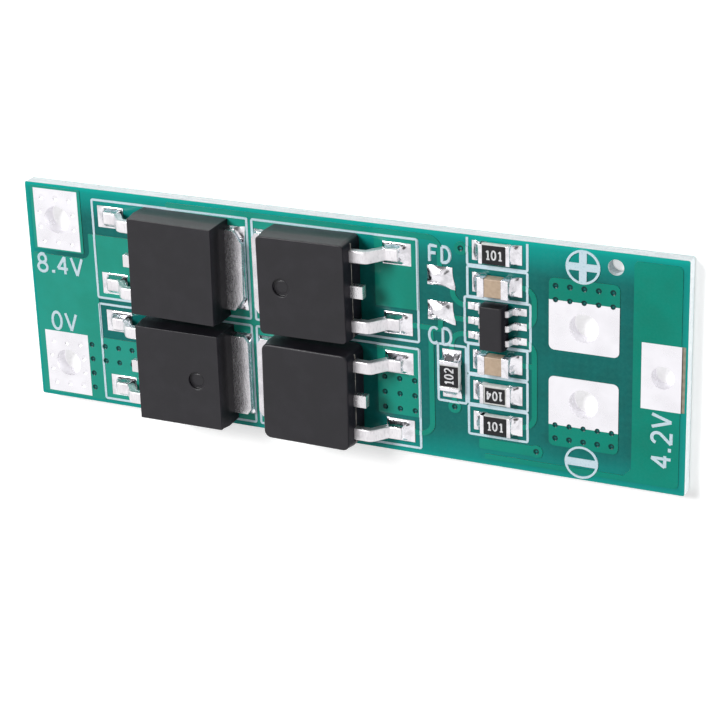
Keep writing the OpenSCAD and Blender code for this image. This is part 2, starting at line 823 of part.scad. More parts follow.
// Area that joins a transistor's source land, below its gate land
module source_pour_2d(i, x0, gap) {
  x1 = -fet_l / 2 - source_from_body;
  y0 = -fet_frame_w / 2 - source_below;
  y1 = lead_span / 2 - lead_land_w / 2 - gap;
  at_fet(i) block(x0, y0, x1, y1, small_r);
}

// Area under the tabs of one row, shared by both columns
module drain_pour_2d(row) {
  back = pad_x0 - drain_rim;
  x0 = frame_x[0] + fet_shift_x + back;
  x1 = frame_x[1] - fet_shift_x - back;
  y = frame_y[row];
  reach = row == 0 ? row_gap : source_below;
  block(x0, y - fet_frame_w / 2 - reach, x1, y + fet_frame_w / 2 - drain_inset, pour_r);
}

module balance_pour_2d() {
  x0 = balance_x - balance_l / 2 - balance_rim;
  x1 = right - balance_clear;
  y0 = lower + balance_clear;
  y1 = y0 + balance_strip_w;
  block(x0, y0, x1, upper - balance_clear, pour_r);
  block(chips_x - balance_strip_from, y0, x0 + pour_r, y1, small_r);
  polygon([
    [x0 - balance_cut, y1],
    [x0, y1 + balance_cut],
    [x0 + pour_r, y1 + balance_cut],
    [x0 + pour_r, y0],
    [x0 - balance_cut, y0]
  ]);
  via = lone_vias[2];
  block(chips_x - column_area_from, via[1] - column_area_w / 2,
        via[0] + column_area_w / 2, via[1] + column_area_w / 2, small_r);
}

// Signal tracks of the front
module tracks_2d() {
  half = chip_span / 2 - chip_land_l / 2;
  ic_half = ic_land_span / 2 - ic_land_l / 2;
  gate_x = test_x - test_l / 2 + track_w / 2;
  gate_3 = frame_y[0] - lead_span / 2;
  gate_4 = frame_y[1] - lead_span / 2;
  right_x = chips_x + chip_frame_l / 2 + side_track_gap;
  land_3 = frame_x[1] + fet_frame_l / 2 - frame_lead_clear - toe_l;
  track([[land_3, gate_3], [gate_x, gate_3]]);
  track([[gate_x, gate_3], [gate_x, gate_4], [land_3, gate_4]], wide_bend_r);
  track([[test_x, test_y2], [test_x, gate_3]]);
  track([[test_x, gate_3], [gate_x, gate_3]]);
  track([[test_x, test_y1], [test_x, supply_y], [frame_x[0], supply_y]], wide_bend_r);
  track([[test_x + test_l / 2, test_y1 - test_w / 2], [test_x + test_l / 2, ic_y + ic_pitch],
         [chips_x - ic_half, ic_y + ic_pitch]], wide_bend_r);
  track([[test_x, ic_y], [chips_x - ic_half, ic_y]]);
  track([[chips_x - ic_half, ic_y - ic_pitch], [upright_x, ic_y - ic_pitch],
         [upright_x, upright_y + half]], wide_bend_r);
  track([[chips_x + half, chip_y2], [right_x, chip_y2], [right_x, ic_y],
         [chips_x + ic_half, ic_y]], wide_bend_r);
  track([[chips_x + ic_half, ic_y - ic_pitch], [right_x, ic_y - ic_pitch],
         [right_x, chip_y5], [chips_x + half, chip_y5]], wide_bend_r);
  track([[chips_x + half, chip_y3], [right_x, chip_y3]]);
  track([[chips_x - half, chip_y1], lone_vias[0]]);
  track([lone_vias[1], [lone_vias[1][0], upright_y - half]]);
}

module front_copper_2d() {
  difference() {
    union() {
      power_pours_2d();
      tracks_2d();
      part_lands_2d();
      dots(lone_vias, lone_ring);
    }
    wire_holes_2d(plating_t);
    dots(all_vias, via_out);
  }
}

// The underside carries the areas that join the terminals to the via fields
module underside_copper_2d() {
  half = under_gap / 2;
  end_x = right - under_end;
  difference() {
    union() {
      block(left + edge_clear, half, end_x - under_gap, pour_high, pour_r);
      block(left + edge_clear, pour_low, frame_x[0] - half, -half, pour_r);
      block(frame_x[0] + half, pour_low, end_x - under_gap, -half, pour_r);
      block(end_x, pour_low, right - edge_clear, pour_high, pour_r);
    }
    wire_holes_2d(plating_t);
    translate([tooling_x, tooling_y]) circle(tooling_r + tooling_clear);
    dots(all_vias, via_out);
  }
}

module underside_windows_2d() {
  wire_holes_2d(plating_t + back_ring);
}

module frame_line(x, y, l, w) {
  difference() {
    centred_block(x, y, l + ink_w, w + ink_w, ink_r);
    box_2d(x, y, l - ink_w, w - ink_w);
  }
}

module outlines_2d() {
  for (x = frame_x, y = frame_y) frame_line(x, y, fet_frame_l, fet_frame_w);
  for (y = column_y) frame_line(chips_x, y, chip_frame_l, chip_frame_w - frame_share);
  frame_line(chips_x, ic_y, ic_frame_l, ic_frame_w);
  frame_line(upright_x, upright_y, upright_w, upright_l);
}

module visible_outlines_2d() {
  open_y = chip_y1 + chip_frame_w / 2 - frame_open;
  difference() {
    outlines_2d();
    mask_windows_2d();
    dots(all_vias, via_r);
    translate([left - cut, open_y]) square([board_l + 2 * cut, board_w]);
  }
}

// ---------- board layers ----------

module glass_epoxy_core() {
  color("#c9d8d2") slab(z_core, z_front) difference() {
    board_2d();
    wire_holes_2d(plating_t);
    translate([tooling_x, tooling_y]) circle(tooling_r);
    dots(all_vias, via_out);
  }
}

module front_copper() {
  color("#c98b5a") slab(z_front, z_copper) front_copper_2d();
}

// The film covers the rim of each open via and fills its mouth, with a dent above it
module front_solder_mask() {
  color("#1f6f66") slab(z_front, z_front + mask_t) difference() {
    board_2d();
    front_copper_2d();
    wire_holes_2d(plating_t);
    mask_windows_2d();
    translate([tooling_x, tooling_y]) circle(tooling_r);
    dots(all_vias, via_out);
  }
  color("#2b8f79") difference() {
    union() {
      slab(z_copper, z_top) difference() {
        union() {
          front_copper_2d();
          dots(open_vias, via_out);
        }
        difference() {
          mask_windows_2d();
          dots(open_vias, via_r);
        }
      }
      slab(z_copper - plug_depth, z_copper) dots(open_vias, via_r);
    }
    dents(open_vias, z_top);
  }
}

module underside_copper() {
  color("#c98b5a") slab(mask_t, z_core) underside_copper_2d();
}

module underside_solder_mask() {
  color("#1f6f66") slab(z_core - mask_t, z_core) difference() {
    board_2d();
    underside_copper_2d();
    underside_windows_2d();
    translate([tooling_x, tooling_y]) circle(tooling_r);
    dots(all_vias, via_out);
  }
  color("#2b8f79") slab(0, mask_t) difference() {
    union() {
      underside_copper_2d();
      dots(all_vias, via_out);
    }
    underside_windows_2d();
    dots(all_vias, via_r);
  }
}

module printed_outlines() {
  color("#dfeef2") {
    slab(z_front + mask_t, z_front + mask_t + ink_t) difference() {
      visible_outlines_2d();
      front_copper_2d();
    }
    slab(z_top, z_top + ink_t) intersection() {
      visible_outlines_2d();
      front_copper_2d();
    }
  }
}

module via_barrels() {
  color("#8f6f4c") slab(mask_t, z_copper) difference() {
    dots(all_vias, via_out);
    dots(all_vias, via_r);
  }
}

// Tinned land on both faces, joined by the plating of its hole
module terminal(x, y, r) {
  color("#f1eef4") difference() {
    union() {
      slab(z_copper, z_copper + tin_t) children();
      translate([x, y, 0]) cylinder(h = z_copper + tin_t, r = r + plating_t);
      translate([x, y, 0]) cylinder(h = mask_t, r = r + plating_t + back_ring);
    }
    translate([x, y, -cut]) cylinder(h = z_top + 2 * cut, r = r);
  }
}

// Balls that leave a dent above each point in a face at height z
module dents(points, z) {
  dent_r = via_r + dent_over;
  ball_r = (dent_r * dent_r + dent_depth * dent_depth) / (2 * dent_depth);
  for (p = points) translate([p[0], p[1], z - dent_depth + ball_r]) sphere(ball_r);
}

// Charge terminal: the vias under its land are filled and show as dents
module charge_terminal(y, vias) {
  difference() {
    union() {
      terminal(charge_x, y, wire_r) children();
      color("#f1eef4") slab(z_copper - plug_depth, z_copper + tin_t / 2) dots(vias, via_r);
    }
    dents(vias, z_copper + tin_t);
  }
}

module charge_positive_terminal() {
  charge_terminal(charge_pos_y, vias_round(charge_x, charge_pos_y)) charge_pos_2d();
}

module charge_negative_terminal() {
  charge_terminal(charge_neg_y, vias_round(charge_x, charge_neg_y)) charge_neg_2d();
}

module battery_positive_terminal() {
  terminal(battery_x, battery_y, wire_r) battery_tin_2d(1);
}

module battery_negative_terminal() {
  terminal(battery_x, -battery_y, wire_r) battery_tin_2d(-1);
}

module battery_tin_2d(side) {
  difference() {
    battery_land_2d(side);
    dots(edge_vias, via_r);
  }
}

module balance_terminal() {
  terminal(balance_hole_x, 0, balance_r) balance_land_2d();
}

// ---------- power transistor ----------

module at_fet_seat(i) {
  translate([0, 0, z_seat]) at_fet(i) rotate([0, 0, fet_skew[i]]) children();
}

// Wall of a moulding as [inset, height], with a flash along the parting line
fet_wall = [
  [fet_under, 0],
  [fet_step, lead_z - fet_flash / 2],
  [0, lead_z - fet_flash / 2],
  [0, lead_z + fet_flash / 2],
  [fet_step, lead_z + fet_flash / 2],
  [fet_draft, fet_h]
];

// Side view of a moulding of length l between two such walls
module wall_profile(wall, l) {
  polygon(concat(
    [for (p = wall) [-l / 2 + p[0], p[1]]],
    [for (i = [len(wall) - 1:-1:0]) [l / 2 - wall[i][0], wall[i][1]]]
  ));
}

module fet_metal(i) {
  drain_tab_solid(fet_cut[i]);
  for (s = [-1, 1]) outer_lead_solid(s);
}

module fet_body(i) {
  color("#3c3b40") at_fet_seat(i) difference() {
    intersection() {
      along_y(fet_w) wall_profile(fet_wall, fet_l);
      along_x(fet_l) wall_profile(fet_wall, fet_w);
      if (fet_rounded[i]) linear_extrude(fet_h) centred_block(0, 0, fet_l, fet_w, fet_r);
    }
    fet_metal(i);
    if (fet_marked[i]) {
      translate([ejector_x, 0, fet_h - ejector_depth])
        cylinder(h = ejector_depth + cut, d = ejector_d);
    }
  }
}

// Die pad and tab, with the cropped middle lead that rises from it
module drain_tab_solid(corner) {
  half = tab_w / 2;
  linear_extrude(frame_t) polygon([
    [pad_x0, -half],
    [pad_x1 - corner[0], -half],
    [pad_x1, -half + corner[1]],
    [pad_x1, half - corner[1]],
    [pad_x1 - corner[0], half],
    [pad_x0, half]
  ]);
  standing_bar([
    [pad_x0 + stub_root, frame_t / 2],
    [pad_x0, frame_t / 2],
    [pad_x0 - stub_slope, lead_z],
    [-fet_l / 2 - stub_out, lead_z]
  ], frame_t, lead_w, lead_bend);
}

module outer_lead_solid(s) {
  translate([0, s * lead_span / 2, 0]) standing_bar([
    [-fet_l / 2 + lead_hold, lead_z],
    [-fet_l / 2 - lead_level, lead_z],
    [foot_x1, frame_t / 2],
    [foot_x0, frame_t / 2]
  ], frame_t, lead_w, lead_bend);
}

module fet_drain_tab(i) {
  color("#d9d6da") at_fet_seat(i) drain_tab_solid(fet_cut[i]);
}

module fet_lead(i, s) {
  color("#e3e0e4") at_fet_seat(i) outer_lead_solid(s);
}

module lead_joint() {
  x0 = foot_x0 - toe_l;
  x1 = foot_x1 + heel_l;
  translate([lead_land_x, 0, 0]) linear_extrude(solder_t)
    box_2d(0, 0, lead_land_l, lead_land_w);
  intersection() {
    along_y(lead_land_w) solder_profile(x0, x1, foot_x0, foot_x1, lead_rise);
    translate([lead_land_x, 0, 0]) along_x(lead_land_l)
      solder_profile(-lead_land_w / 2, lead_land_w / 2, -lead_w / 2, lead_w / 2, lead_rise);
  }
}

module fet_solder(i) {
  color("#ecebef") difference() {
    translate([0, 0, z_copper]) at_fet(i) {
      for (s = [-1, 1]) translate([0, s * lead_span / 2, 0]) lead_joint();
      linear_extrude(solder_t) translate([pad_x0, -tab_land_w / 2])
        square([pad_x1 + tab_rim - pad_x0, tab_land_w]);
    }
    at_fet_seat(i) fet_metal(i);
  }
}

// ---------- chip resistors and capacitors ----------

module resistor_ceramic_solid() {
  translate([-chip_l / 2 + cap_t, -chip_w / 2, cap_t])
    cube([chip_l - 2 * cap_t, chip_w, resistor_h - 2 * cap_t]);
}

module resistor_ceramic(i) {
  color("#e9e6e2") translate([0, 0, z_seat]) at_chip(resistor_at[i]) resistor_ceramic_solid();
}

module resistor_end_caps(i) {
  color("#e4e2e6") translate([0, 0, z_seat]) at_chip(resistor_at[i]) difference() {
    for (s = [-1, 1])
      translate([s * (chip_l - resistor_cap_l) / 2 - resistor_cap_l / 2, -chip_w / 2, 0])
        cube([resistor_cap_l, chip_w, resistor_h]);
    resistor_ceramic_solid();
  }
}

module resistor_coating(i) {
  size = coat_size[i];
  color("#25242a") translate([0, 0, z_seat + resistor_h - cap_t]) at_chip(resistor_at[i])
    translate([-size[0] / 2, -size[1] / 2, 0]) cube([size[0], size[1], coat_t]);
}

module capacitor_ceramic_solid() {
  translate([-chip_l / 2 + cap_t, -chip_w / 2 + cap_t, cap_t])
    cube([chip_l - 2 * cap_t, chip_w - 2 * cap_t, capacitor_h - 2 * cap_t]);
}

module capacitor_ceramic(i) {
  color("#b39b82") translate([0, 0, z_seat]) at_chip(capacitor_at[i]) capacitor_ceramic_solid();
}

module capacitor_end_caps(i) {
  color("#e4e2e6") translate([0, 0, z_seat]) at_chip(capacitor_at[i]) difference() {
    for (s = [-1, 1])
      translate([s * (chip_l - capacitor_cap_l) / 2 - capacitor_cap_l / 2, -chip_w / 2, 0])
        cube([capacitor_cap_l, chip_w, capacitor_h]);
    capacitor_ceramic_solid();
  }
}

module chip_solder(place) {
  color("#ecebef") translate([0, 0, z_copper]) at_chip(place) difference() {
    for (s = [0, 180]) rotate([0, 0, s]) {
      x0 = -chip_span / 2;
      along_y(chip_w)
        solder_profile(x0, x0 + chip_land_l, -chip_l / 2, x0 + chip_land_l, chip_rise);
      linear_extrude(solder_t) translate([x0, -chip_w / 2]) square([chip_land_l, chip_w]);
    }
    translate([-chip_l / 2, -chip_w / 2 - cut, solder_t])
      cube([chip_l, chip_w + 2 * cut, capacitor_h]);
  }
}

// ---------- protection chip ----------

// Wall of the moulding as [inset, height]
ic_wall = [
  [ic_under, ic_standoff],
  [0, ic_lead_z],
  [ic_draft, ic_h]
];

module ic_lead_solids() {
  for (s = [0, 180], k = [-1:1])
    rotate([0, 0, s]) translate([0, k * ic_pitch, 0]) standing_bar([
      [-ic_l / 2 + ic_hold, ic_lead_z],
      [-ic_l / 2 - ic_lead_level, ic_lead_z],
      [-ic_span / 2 + ic_foot, ic_lead_t / 2],
      [-ic_span / 2, ic_lead_t / 2]
    ], ic_lead_t, ic_lead_w, ic_bend);
}

module protection_chip_body() {
  color("#38373d") translate([0, 0, z_seat]) at_ic() difference() {
    intersection() {
      along_y(ic_w) wall_profile(ic_wall, ic_l);
      along_x(ic_l) wall_profile(ic_wall, ic_w);
    }
    ic_lead_solids();
  }
}

module protection_chip_leads() {
  color("#e3e0e4") translate([0, 0, z_seat]) at_ic() ic_lead_solids();
}

module protection_chip_solder() {
  x0 = -ic_land_span / 2;
  x1 = x0 + ic_land_l;
  color("#ecebef") at_ic() difference() {
    translate([0, 0, z_copper]) for (s = [0, 180], k = [-1:1])
      rotate([0, 0, s]) translate([0, k * ic_pitch, 0]) {
        intersection() {
          along_y(ic_land_w)
            solder_profile(x0, x1, -ic_span / 2, x1 - ic_heel, ic_rise);
          translate([(x0 + x1) / 2, 0, 0]) along_x(ic_land_l)
            solder_profile(-ic_land_w / 2, ic_land_w / 2, -ic_lead_w / 2, ic_lead_w / 2, ic_rise);
        }
        linear_extrude(solder_t) box_2d((x0 + x1) / 2, 0, ic_land_l, ic_land_w);
      }
    translate([0, 0, z_seat]) ic_lead_solids();
  }
}

// ---------- test pads ----------

module test_pad(y) {
  color("#ecebef") translate([0, 0, z_copper]) {
    translate([test_x, y, 0]) intersection() {
      along_y(test_w) crown_profile(test_l, test_h);
      along_x(test_l) crown_profile(test_w, test_h);
    }
    linear_extrude(solder_t) test_pad_2d(y);
  }
}

// ---------- the parts ----------

glass_epoxy_core();
front_copper();
front_solder_mask();
underside_copper();
underside_solder_mask();
printed_outlines();
via_barrels();
charge_positive_terminal();
charge_negative_terminal();
battery_positive_terminal();
battery_negative_terminal();
balance_terminal();
fet_body(0);  // transistor_1_body
fet_drain_tab(0);  // transistor_1_drain_tab
fet_lead(0, 1);  // transistor_1_gate_lead
fet_lead(0, -1);  // transistor_1_source_lead
fet_solder(0);  // transistor_1_solder
fet_body(1);  // transistor_2_body
fet_drain_tab(1);  // transistor_2_drain_tab
fet_lead(1, 1);  // transistor_2_gate_lead
fet_lead(1, -1);  // transistor_2_source_lead
fet_solder(1);  // transistor_2_solder
fet_body(2);  // transistor_3_body
fet_drain_tab(2);  // transistor_3_drain_tab
fet_lead(2, 1);  // transistor_3_gate_lead
fet_lead(2, -1);  // transistor_3_source_lead
fet_solder(2);  // transistor_3_solder
fet_body(3);  // transistor_4_body
fet_drain_tab(3);  // transistor_4_drain_tab
fet_lead(3, 1);  // transistor_4_gate_lead
fet_lead(3, -1);  // transistor_4_source_lead
fet_solder(3);  // transistor_4_solder
resistor_ceramic(0);  // resistor_1_ceramic
resistor_end_caps(0);  // resistor_1_end_caps
resistor_coating(0);  // resistor_1_coating
chip_solder(resistor_at[0]);  // resistor_1_solder
resistor_ceramic(1);  // resistor_2_ceramic
resistor_end_caps(1);  // resistor_2_end_caps
resistor_coating(1);  // resistor_2_coating
chip_solder(resistor_at[1]);  // resistor_2_solder
resistor_ceramic(2);  // resistor_3_ceramic
resistor_end_caps(2);  // resistor_3_end_caps
resistor_coating(2);  // resistor_3_coating
chip_solder(resistor_at[2]);  // resistor_3_solder
resistor_ceramic(3);  // resistor_4_ceramic
resistor_end_caps(3);  // resistor_4_end_caps
resistor_coating(3);  // resistor_4_coating
chip_solder(resistor_at[3]);  // resistor_4_solder
capacitor_ceramic(0);  // capacitor_1_ceramic
capacitor_end_caps(0);  // capacitor_1_end_caps
chip_solder(capacitor_at[0]);  // capacitor_1_solder
capacitor_ceramic(1);  // capacitor_2_ceramic
capacitor_end_caps(1);  // capacitor_2_end_caps
chip_solder(capacitor_at[1]);  // capacitor_2_solder
protection_chip_body();
protection_chip_leads();
protection_chip_solder();
test_pad(test_y1);  // discharge_test_pad
test_pad(test_y2);  // charge_test_pad
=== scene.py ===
import json
import math

import bmesh
import bpy
from mathutils import Matrix, Vector, noise

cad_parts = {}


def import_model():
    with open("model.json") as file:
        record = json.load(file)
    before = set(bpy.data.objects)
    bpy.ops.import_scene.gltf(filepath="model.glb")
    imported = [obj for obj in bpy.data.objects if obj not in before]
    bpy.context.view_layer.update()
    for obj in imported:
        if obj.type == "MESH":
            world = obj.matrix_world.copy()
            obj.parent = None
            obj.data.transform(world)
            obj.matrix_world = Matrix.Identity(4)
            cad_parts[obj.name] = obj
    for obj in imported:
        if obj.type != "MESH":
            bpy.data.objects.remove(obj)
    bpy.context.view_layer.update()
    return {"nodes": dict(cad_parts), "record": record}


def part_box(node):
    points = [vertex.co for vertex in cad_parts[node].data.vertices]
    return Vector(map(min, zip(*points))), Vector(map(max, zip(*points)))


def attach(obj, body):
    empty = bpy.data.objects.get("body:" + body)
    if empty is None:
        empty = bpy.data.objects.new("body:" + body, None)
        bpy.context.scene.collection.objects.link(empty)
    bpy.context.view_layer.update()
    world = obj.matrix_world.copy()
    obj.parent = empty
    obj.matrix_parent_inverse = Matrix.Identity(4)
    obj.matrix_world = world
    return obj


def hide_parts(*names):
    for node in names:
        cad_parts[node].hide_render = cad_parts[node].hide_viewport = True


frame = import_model()

MM = 0.001
NODES = frame["nodes"]
SLOTS = {row["node"]: row["material_slot"] for row in frame["record"]["subparts"]}


# ---------- levels, in millimetres, from the frame ----------

def low_high(node):
    """Lowest and highest corner of a CAD node, in millimetres."""
    low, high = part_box(node)
    return low / MM, high / MM


def middle(node):
    """Middle of a CAD node's box, in millimetres."""
    low, high = low_high(node)
    return (low + high) / 2


BOARD_LOW, BOARD_HIGH = low_high("front_solder_mask")
PRINT_LOW, PRINT_HIGH = low_high("printed_outlines")
Z_CORE = low_high("glass_epoxy_core")[1].z
MASK_T = PRINT_LOW.z - Z_CORE
Z_MASK = BOARD_HIGH.z
Z_COPPER = Z_MASK - MASK_T
# The parts stand on a seat of solder
SEAT = 0.05
Z_SEAT = Z_COPPER + SEAT


# ---------- shader nodes ----------

def srgb(r, g, b):
    """Linear colour from the 0 to 255 values of a display colour."""
    def linear(v):
        v /= 255
        return v / 12.92 if v <= 0.04045 else ((v + 0.055) / 1.055) ** 2.4
    return (linear(r), linear(g), linear(b), 1)


class Tree:
    """The shader nodes of a material or of the world, with short ways to add more."""

    # Places of a Mix node's share, colours and result among its sockets
    MIX_INPUTS, MIX_RESULT = (0, 6, 7), 2

    def __init__(self, tree):
        self.nodes, self.links = tree.nodes, tree.links

    def feed(self, socket, value):
        """Joins a socket to another one, or sets it to a value."""
        if isinstance(value, bpy.types.NodeSocket):
            self.links.new(value, socket)
        else:
            socket.default_value = value

    def node(self, kind, **inputs):
        """A new node whose inputs are fed by name, with _ for a space."""
        node = self.nodes.new("ShaderNode" + kind)
        for name, value in inputs.items():
            self.feed(node.inputs[name.replace("_", " ")], value)
        return node

    def math(self, operation, a, b=0.0):
        node = self.node("Math")
        node.operation = operation
        self.feed(node.inputs[0], a)
        self.feed(node.inputs[1], b)
        return node.outputs[0]

    def times(self, a, b):
        return self.math("MULTIPLY", a, b)

    def plus(self, a, b):
        return self.math("ADD", a, b)

    def minus(self, a, b):
        return self.math("SUBTRACT", a, b)

    def above(self, a, b):
        """1 where a is more than b, and 0 elsewhere."""
        return self.math("GREATER_THAN", a, b)

    def ramp(self, value, low, high, to_low=0.0, to_high=1.0):
        """Goes smoothly from to_low to to_high while value goes from low to high."""
        node = self.node("MapRange", Value=value, From_Min=low, From_Max=high,
                         To_Min=to_low, To_Max=to_high)
        node.interpolation_type = "SMOOTHSTEP"
        return node.outputs["Result"]

    def mix(self, share, a, b):
        """Colour a with a share of colour b."""
        node = self.node("Mix")
        node.data_type = "RGBA"
        for place, value in zip(self.MIX_INPUTS, (share, a, b)):
            self.feed(node.inputs[place], value)
        return node.outputs[self.MIX_RESULT]


class Paint(Tree):
    """A procedural material whose textures are placed in millimetres of the frame."""

    def __init__(self, name, metallic=0.0, specular=0.5):
        self.material = bpy.data.materials.new(name)
        self.material.use_nodes = True
        super().__init__(self.material.node_tree)
        self.shader = self.nodes["Principled BSDF"]
        self.set("Metallic", metallic)
        self.set("Specular IOR Level", specular)
        place = self.node("TexCoord").outputs["Object"]
        self.point = self.scaled(place, (1 / MM, 1 / MM, 1 / MM))

    def set(self, name, value):
        """Gives the shader a value, or joins its input to a socket."""
        self.feed(self.shader.inputs[name], value)

    def scaled(self, point, scale):
        return self.node("Mapping", Vector=point, Scale=scale).outputs["Vector"]

    def noise(self, scale, detail, stretch=None, distortion=0.0):
        """Clouds around 0.5, packed closer along each axis by the factors of stretch."""
        point = self.scaled(self.point, stretch) if stretch else self.point
        node = self.node("TexNoise", Scale=scale, Detail=detail, Distortion=distortion, Vector=point)
        return node.outputs["Fac"]

    def spots(self, scale):
        """Distance from scattered points."""
        return self.node("TexVoronoi", Scale=scale, Vector=self.point).outputs["Distance"]

    def waves(self, scale, axis, distortion):
        node = self.node("TexWave", Scale=scale, Distortion=distortion, Vector=self.point)
        node.bands_direction = axis
        return node.outputs["Fac"]

    def axis(self, name):
        """Place along one axis of the frame, in millimetres."""
        return self.node("SeparateXYZ", Vector=self.point).outputs[name]

    def facing(self, name):
        """How far a face looks along one axis of the frame, from -1 to 1."""
        normal = self.node("NewGeometry").outputs["True Normal"]
        return self.node("SeparateXYZ", Vector=normal).outputs[name]

    def bump(self, height, strength, distance):
        """Relief from a height, distance in millimetres."""
        node = self.node("Bump", Height=height, Strength=strength, Distance=distance * MM)
        self.set("Normal", node.outputs["Normal"])


# ---------- materials ----------

WEAVE_PITCH = 0.55


def weave(paint):
    """Height of the plain weave of the glass cloth."""
    scale = math.pi / (10 * WEAVE_PITCH)
    return paint.times(paint.waves(scale, "X", 0.6), paint.waves(scale, "Y", 0.6))


def mask_material():
    """Green film: glossy, softly rippled, with painted shade on the slopes of its dents and a painted
    glow near the board's edges.
    """
    paint = Paint("green_solder_mask", specular=0.14)
    cloud = paint.ramp(paint.noise(0.3, 3), 0.35, 0.65)
    # A painted glow near the board's edges, lighter teal
    painted_glow = painted_edge_glow(paint)
    on_core = film_on_core(paint, cloud, painted_glow)
    on_copper = film_on_copper(paint, cloud, painted_glow)
    color = paint.mix(over_copper(paint), on_core, on_copper)
    fine = paint.ramp(paint.noise(6.0, 4), 0.3, 0.7)
    color = paint.mix(paint.times(fine, 0.06), color, srgb(60, 170, 156))
    # Painted shade: a dark ring on the slopes of the dents
    paint.set("Base Color", paint.mix(dent_slope_shade(paint), color, srgb(2, 50, 50)))
    paint.set("Roughness", paint.ramp(paint.noise(1.2, 4), 0.3, 0.7, 0.14, 0.26))
    ripple = paint.plus(paint.noise(3.0, 2), paint.times(paint.noise(22.0, 2), 0.25))
    paint.bump(ripple, 0.2, 0.02)
    return paint.material


def over_copper(paint):
    """1 where the film lies over copper, so that it reaches the board's front or back."""
    z = paint.axis("Z")
    front = paint.above(z, Z_MASK - 0.8 * MASK_T)
    back = paint.math("LESS_THAN", z, 1.2 * MASK_T)
    return paint.math("MAXIMUM", front, back)


def film_on_copper(paint, cloud, painted_glow):
    """Lighter green, deeper towards the balance end, with a little of the painted glow near the board's
    edges.
    """
    along = paint.ramp(paint.axis("X"), BOARD_LOW.x, BOARD_HIGH.x)
    left = paint.mix(cloud, srgb(38, 154, 134), srgb(44, 162, 144))
    right = paint.mix(cloud, srgb(8, 134, 114), srgb(10, 142, 122))
    return paint.mix(paint.times(painted_glow, 0.2), paint.mix(along, left, right), srgb(4, 168, 156))


def film_on_core(paint, cloud, painted_glow):
    """Darker green with a faint weave, and a painted glow near the laminate's edges."""
    green = paint.mix(cloud, srgb(14, 102, 98), srgb(18, 112, 108))
    woven = paint.mix(paint.times(weave(paint), 0.12), green, srgb(40, 136, 128))
    return paint.mix(painted_glow, woven, srgb(4, 176, 164))


def dent_slope_shade(paint):
    """Share of the painted shade, a dark ring on the slope of a dent where the film sags into a via."""
    up = paint.facing("Z")
    sloping = paint.ramp(up, 0.995, 0.95)
    no_wall = paint.above(up, 0.5)
    return paint.times(paint.times(sloping, no_wall), 0.85)


# Strength of the painted teal glow along the edges towards +X, -X, +Y and -Y, and how deep it reaches
GLOW = (0.62, 0.75, 1.0, 0.62)
GLOW_REACH, GLOW_RIM = 2.4, 0.4


def painted_edge_glow(paint):
    """Share of the painted glow, a teal rim near the laminate's milled edges."""
    x, y = paint.axis("X"), paint.axis("Y")
    distances = (
        paint.minus(BOARD_HIGH.x, x),
        paint.minus(x, BOARD_LOW.x),
        paint.minus(BOARD_HIGH.y, y),
        paint.minus(y, BOARD_LOW.y),
    )
    most = 0.0
    for distance, strength in zip(distances, GLOW):
        wide = paint.ramp(distance, 0.0, GLOW_REACH, 0.7 * strength, 0.0)
        rim = paint.ramp(distance, 0.02, GLOW_RIM, 0.3 * strength, 0.0)
        most = paint.math("MAXIMUM", most, paint.plus(wide, rim))
    return most


def laminate_material():
    """Glass cloth in epoxy: layered and speckled on the milled edge, khaki on its face."""
    paint = Paint("glass_epoxy", specular=0.4)
    layer = paint.ramp(paint.noise(1.4, 3, stretch=(0.5, 0.5, 9)), 0.35, 0.65)
    fibre = paint.noise(3.0, 4, stretch=(3, 3, 5))
    edge = paint.mix(layer, srgb(220, 231, 234), srgb(242, 248, 250))
    edge = paint.mix(paint.ramp(fibre, 0.55, 0.7), edge, srgb(246, 250, 251))
    edge = paint.mix(paint.ramp(fibre, 0.42, 0.3), edge, srgb(204, 221, 225))
    face = paint.mix(weave(paint), srgb(152, 144, 126), srgb(168, 160, 142))
    on_face = paint.above(paint.axis("Z"), Z_CORE - 0.005)
    paint.set("Base Color", paint.mix(on_face, edge, face))
    paint.set("Roughness", 0.6)
    paint.bump(fibre, 0.6, 0.03)
    return paint.material


def copper_material():
    """Bare foil, a little uneven in colour."""
    paint = Paint("copper_foil", metallic=1.0)
    paint.set("Base Color", paint.mix(paint.noise(8, 4), srgb(176, 108, 74), srgb(214, 150, 112)))
    paint.set("Roughness", 0.35)
    paint.bump(paint.noise(30, 3), 0.2, 0.01)
    return paint.material


def ink_material():
    """Screen-printed ink, a little thin in places."""
    paint = Paint("white_ink", specular=0.3)
    thin = paint.ramp(paint.noise(9, 5), 0.52, 0.75, 0.0, 0.55)
    cloud = paint.mix(paint.noise(1.5, 3), srgb(200, 224, 236), srgb(220, 238, 246))
    paint.set("Base Color", paint.mix(thin, cloud, srgb(150, 196, 204)))
    paint.set("Roughness", 0.55)
    paint.bump(paint.noise(30, 3), 0.3, 0.01)
    return paint.material


def tin_material(name, light, dark, roughness, grain, relief):
    """Tin or solder: bright, with soft dull patches and a fine uneven skin."""
    paint = Paint(name, metallic=1.0)
    patches = paint.ramp(paint.noise(grain, 4, distortion=0.4), 0.4, 0.72, 0.0, 0.6)
    paint.set("Base Color", paint.mix(patches, light, dark))
    satin = paint.noise(grain * 1.7, 4)
    paint.set("Roughness", paint.ramp(satin, 0.3, 0.7, roughness * 0.75, roughness * 1.25))
    skin = paint.plus(paint.noise(grain * 2.5, 3), paint.times(paint.spots(14), 0.15))
    paint.bump(skin, 0.35, relief)
    return paint.material


